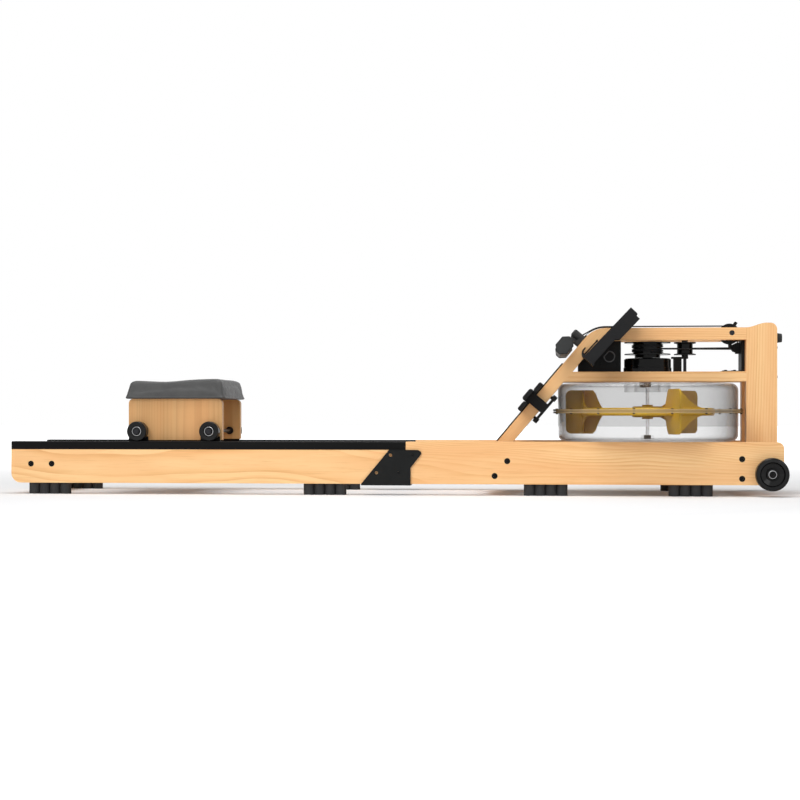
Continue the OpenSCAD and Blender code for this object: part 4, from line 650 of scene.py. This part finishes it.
def inflate(o, pressure, cap_mm, held_below):
    """Blows a closed form up a little as cloth, and caps how far each point may go."""
    before = [v.co.copy() for v in o.data.vertices]
    group = o.vertex_groups.new(name="held")
    group.add([v.index for v in o.data.vertices if v.co.z < held_below], 1.0, "REPLACE")
    mod = o.modifiers.new("cloth", "CLOTH")
    cloth = mod.settings
    cloth.quality = 5
    cloth.mass = 0.3
    cloth.use_pressure = True
    cloth.uniform_pressure_force = pressure
    cloth.effector_weights.gravity = 0
    cloth.tension_stiffness = 30
    cloth.compression_stiffness = 30
    cloth.bending_stiffness = 4
    cloth.vertex_group_mass = "held"
    mod.point_cache.frame_start = 1
    mod.point_cache.frame_end = 20
    for f in range(1, 21):
        scene.frame_set(f)
    apply_all(o)
    for v, old in zip(o.data.vertices, before):
        move = v.co - old
        if move.length > cap_mm * MM:
            v.co = old + move.normalized() * cap_mm * MM
    scene.frame_set(1)


HEM_MM = 6.0                                     # the cover is held to the board up to here
HEM_OUT_MM = 1.2                                 # and stands this far out at its lower edge
cushion = own_copy("cushion_cover", "seat_cushion")
low, high = (Vector(v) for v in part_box("seat_cushion"))
middle = (low + high) / 2
for v in cushion.data.vertices:
    rise = (v.co.z - low.z) / (high.z - low.z)
    if rise > 0.1:
        v.co.x = middle.x + (v.co.x - middle.x) * 0.993
        v.co.y = middle.y + (v.co.y - middle.y) * 0.994
        v.co.z -= 0.8 * MM
mod = cushion.modifiers.new("remesh", "REMESH")
mod.mode = "VOXEL"
mod.voxel_size = 0.004
apply_all(cushion)
inflate(cushion, 4.0, 2.0, low.z + HEM_MM * MM)
mod = cushion.modifiers.new("smooth", "SUBSURF")
mod.levels = 1
mod.render_levels = 1
apply_all(cushion)
for v in cushion.data.vertices:
    h = (v.co.z - low.z) / MM
    side_x = abs(v.co.x - middle.x) / (high.x - low.x)
    side_y = abs(v.co.y - middle.y) / (high.y - low.y)
    if max(side_x, side_y) > 0.42 and h < HEM_MM:
        outward = Vector((v.co.x - middle.x, v.co.y - middle.y, 0)).normalized()
        v.co += outward * HEM_OUT_MM * (1 - max(0.0, h) / HEM_MM) * MM
    v.co.x = min(max(v.co.x, low.x), high.x)
    v.co.y = min(max(v.co.y, low.y), high.y)
    v.co.z = max(v.co.z, low.z)
for f in cushion.data.polygons:
    f.use_smooth = True
cushion.data.materials.clear()
cushion.data.materials.append(cover)
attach(cushion, "seat")
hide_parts("seat_cushion")


# Roller bearings: sealed ball bearings pressed into the rollers' hubs. A zinc-plated steel
# ring, bright with soft stains, shows round a satin black rubber seal.
zinc = metal("zinc_plated_steel", "#B4B4B6", 0.28)
satin_plastic = moulded("satin_black_plastic", "#080808", 0.3, 0.15, 0.9, 0.012, 0.2)


def turned(name, outline, at, axis, material, sides=64):
    """A piece turned about an axis, from its outline of (radius, height) pairs in mm."""
    bm = bmesh.new()
    rings = []
    for j in range(sides):
        a = 2 * math.pi * j / sides
        rings.append([bm.verts.new((r * MM * math.cos(a), r * MM * math.sin(a), h * MM))
                      for r, h in outline])
    n = len(outline)
    for j in range(sides):
        p, q = rings[j], rings[(j + 1) % sides]
        for i in range(n):
            k = (i + 1) % n
            bm.faces.new((p[i], q[i], q[k], p[k]))
    bmesh.ops.recalc_face_normals(bm, faces=bm.faces)
    mesh = bpy.data.meshes.new(name)
    bm.to_mesh(mesh)
    bm.free()
    mesh.transform(Matrix.Translation(at) @ Vector(axis).to_track_quat("Z", "Y").to_matrix().to_4x4())
    for f in mesh.polygons:
        f.use_smooth = True
    mesh.set_sharp_from_angle(angle=math.radians(35))
    mesh.materials.append(material)
    o = bpy.data.objects.new(name, mesh)
    scene.collection.objects.link(o)
    return o


def bearing(name, x, y, z, side, body, inner, outer):
    """Both visible rings of a sealed bearing, on the face that looks along side (-1 or 1) in Y."""
    at = metres([(x, y, z)])[0]
    ring_line = [(outer - 2.2, 0), (outer - 0.3, 0), (outer - 0.3, 0.7), (outer - 0.8, 1.1),
                 (outer - 1.8, 1.1), (outer - 2.2, 0.8)]
    seal_line = [(inner, 0), (outer - 2.3, 0), (outer - 2.3, 0.5), (outer - 3.0, 0.75),
                 (inner + 0.6, 0.75), (inner, 0.4)]
    ring = turned(name + "_ring", ring_line, at, (0, side, 0), zinc)
    seal = turned(name + "_seal", seal_line, at, (0, side, 0), satin_plastic)
    for piece, finish in ((ring, "zinc_steel"), (seal, "black_plastic")):
        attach(piece, body)


HUB_Y, HUB_Z = 174.0, 171.3
for tag, x, body in (("rear", 349.0, "rear_rollers"), ("front", 549.0, "front_rollers")):
    bearing("bearing_" + tag + "_near", x, -HUB_Y, HUB_Z, -1, body, 9.3, 13.0)
    bearing("bearing_" + tag + "_far", x, HUB_Y, HUB_Z, 1, body, 9.3, 13.0)


# Transport wheels: moulded black tyres, glossy, on sealed bearings. Shouldered bolts hold
# them to the front ends of the rails.
WHEEL_X, WHEEL_Y, WHEEL_Z = 2052.3, 208.0, 59.5
wheel_tyre = moulded("glossy_black_tyre", "#030303", 0.3, 0.05, 1.5, 0.01, 0.12)
gloss(wheel_tyre, 0.4, 0.05)
dress(wheel_tyre, "wheel_near", "wheel_far")
bearing("bearing_wheel_near", WHEEL_X, -WHEEL_Y, WHEEL_Z, -1, "wheel_near", 8.7, 11.2)
bearing("bearing_wheel_far", WHEEL_X, WHEEL_Y, WHEEL_Z, 1, "wheel_far", 8.7, 11.2)


# Foot slider and device holder: moulded ABS with a soft-touch paint, a very dull deep grey.
# The slider clamps on the sloped beams, and the slab tilts on a pin with its tray.
soft_plastic = moulded("soft_touch_black", "#171718", 0.58, 0.16, 0.5, 0.035)
dress(soft_plastic, "foot_slider", "holder_slab", "holder_tray")


# Foot rests: three moulded rubber bars, pressed on the slider. The rubber is dull and has a
# coarse non-slip grain.
rest_rubber = moulded("ribbed_foot_rubber", "#141415", 0.66, 0.16, 1.4, 0.12, 0.2)
dress(rest_rubber, "foot_rests")


# Handle: a bar in a sleeve of grey closed-cell foam, between two dark rubber caps. The foam
# is dull and its cells are drawn at 1.1 mm, about twice their real size.
cap_rubber = moulded("dark_cap_rubber", "#323333", 0.6, 0.18, 0.8, 0.05, 0.2)
dress(cap_rubber, "handle_caps")
foam, ft, foam_shader, foam_at = surface("grey_grip_foam", 0.85, 0.15)
cells = add(ft, "TexVoronoi", {"Vector": foam_at, "Scale": 1000 / 1.111}).outputs["Distance"]
foam_cloud = add(ft, "TexNoise", {"Vector": foam_at, "Scale": 1000 / 25.0, "Detail": 3.0})
foam_tone = add(ft, "Mix", {0: add(ft, "MapRange", {0: foam_cloud, 1: 0.3, 2: 0.7}),
                            6: lin("#9B9B9B"), 7: lin("#B4B4B3")}, data_type="RGBA")
cell_wall = add(ft, "MapRange", {0: cells, 1: 0.2, 2: 0.7, 4: 0.3})
feed(foam_shader, {"Base Color": add(ft, "Mix", {0: cell_wall, 6: foam_tone, 7: lin("#7E7E7E")},
                                     data_type="RGBA"),
                   "Normal": add(ft, "Bump", {"Height": cells, "Strength": 0.5,
                                              "Distance": 0.25 * MM})})
dress(foam, "handle_grip")


# Ferrule: a small zinc-plated collar, turned and pressed on the rope where it enters the grip.
# It rides with the handle and hides the rope's cut end.
ferrule_line = [(1.9, 0.3), (4.6, 0.3), (5.0, 0.8), (5.0, 5.0), (4.2, 6.2), (1.9, 7.2)]
ferrule = turned("rope_ferrule", ferrule_line, metres([free_end])[0], pull_pts[0] - pull_pts[-1],
                 zinc, 32)
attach(ferrule, "handle")
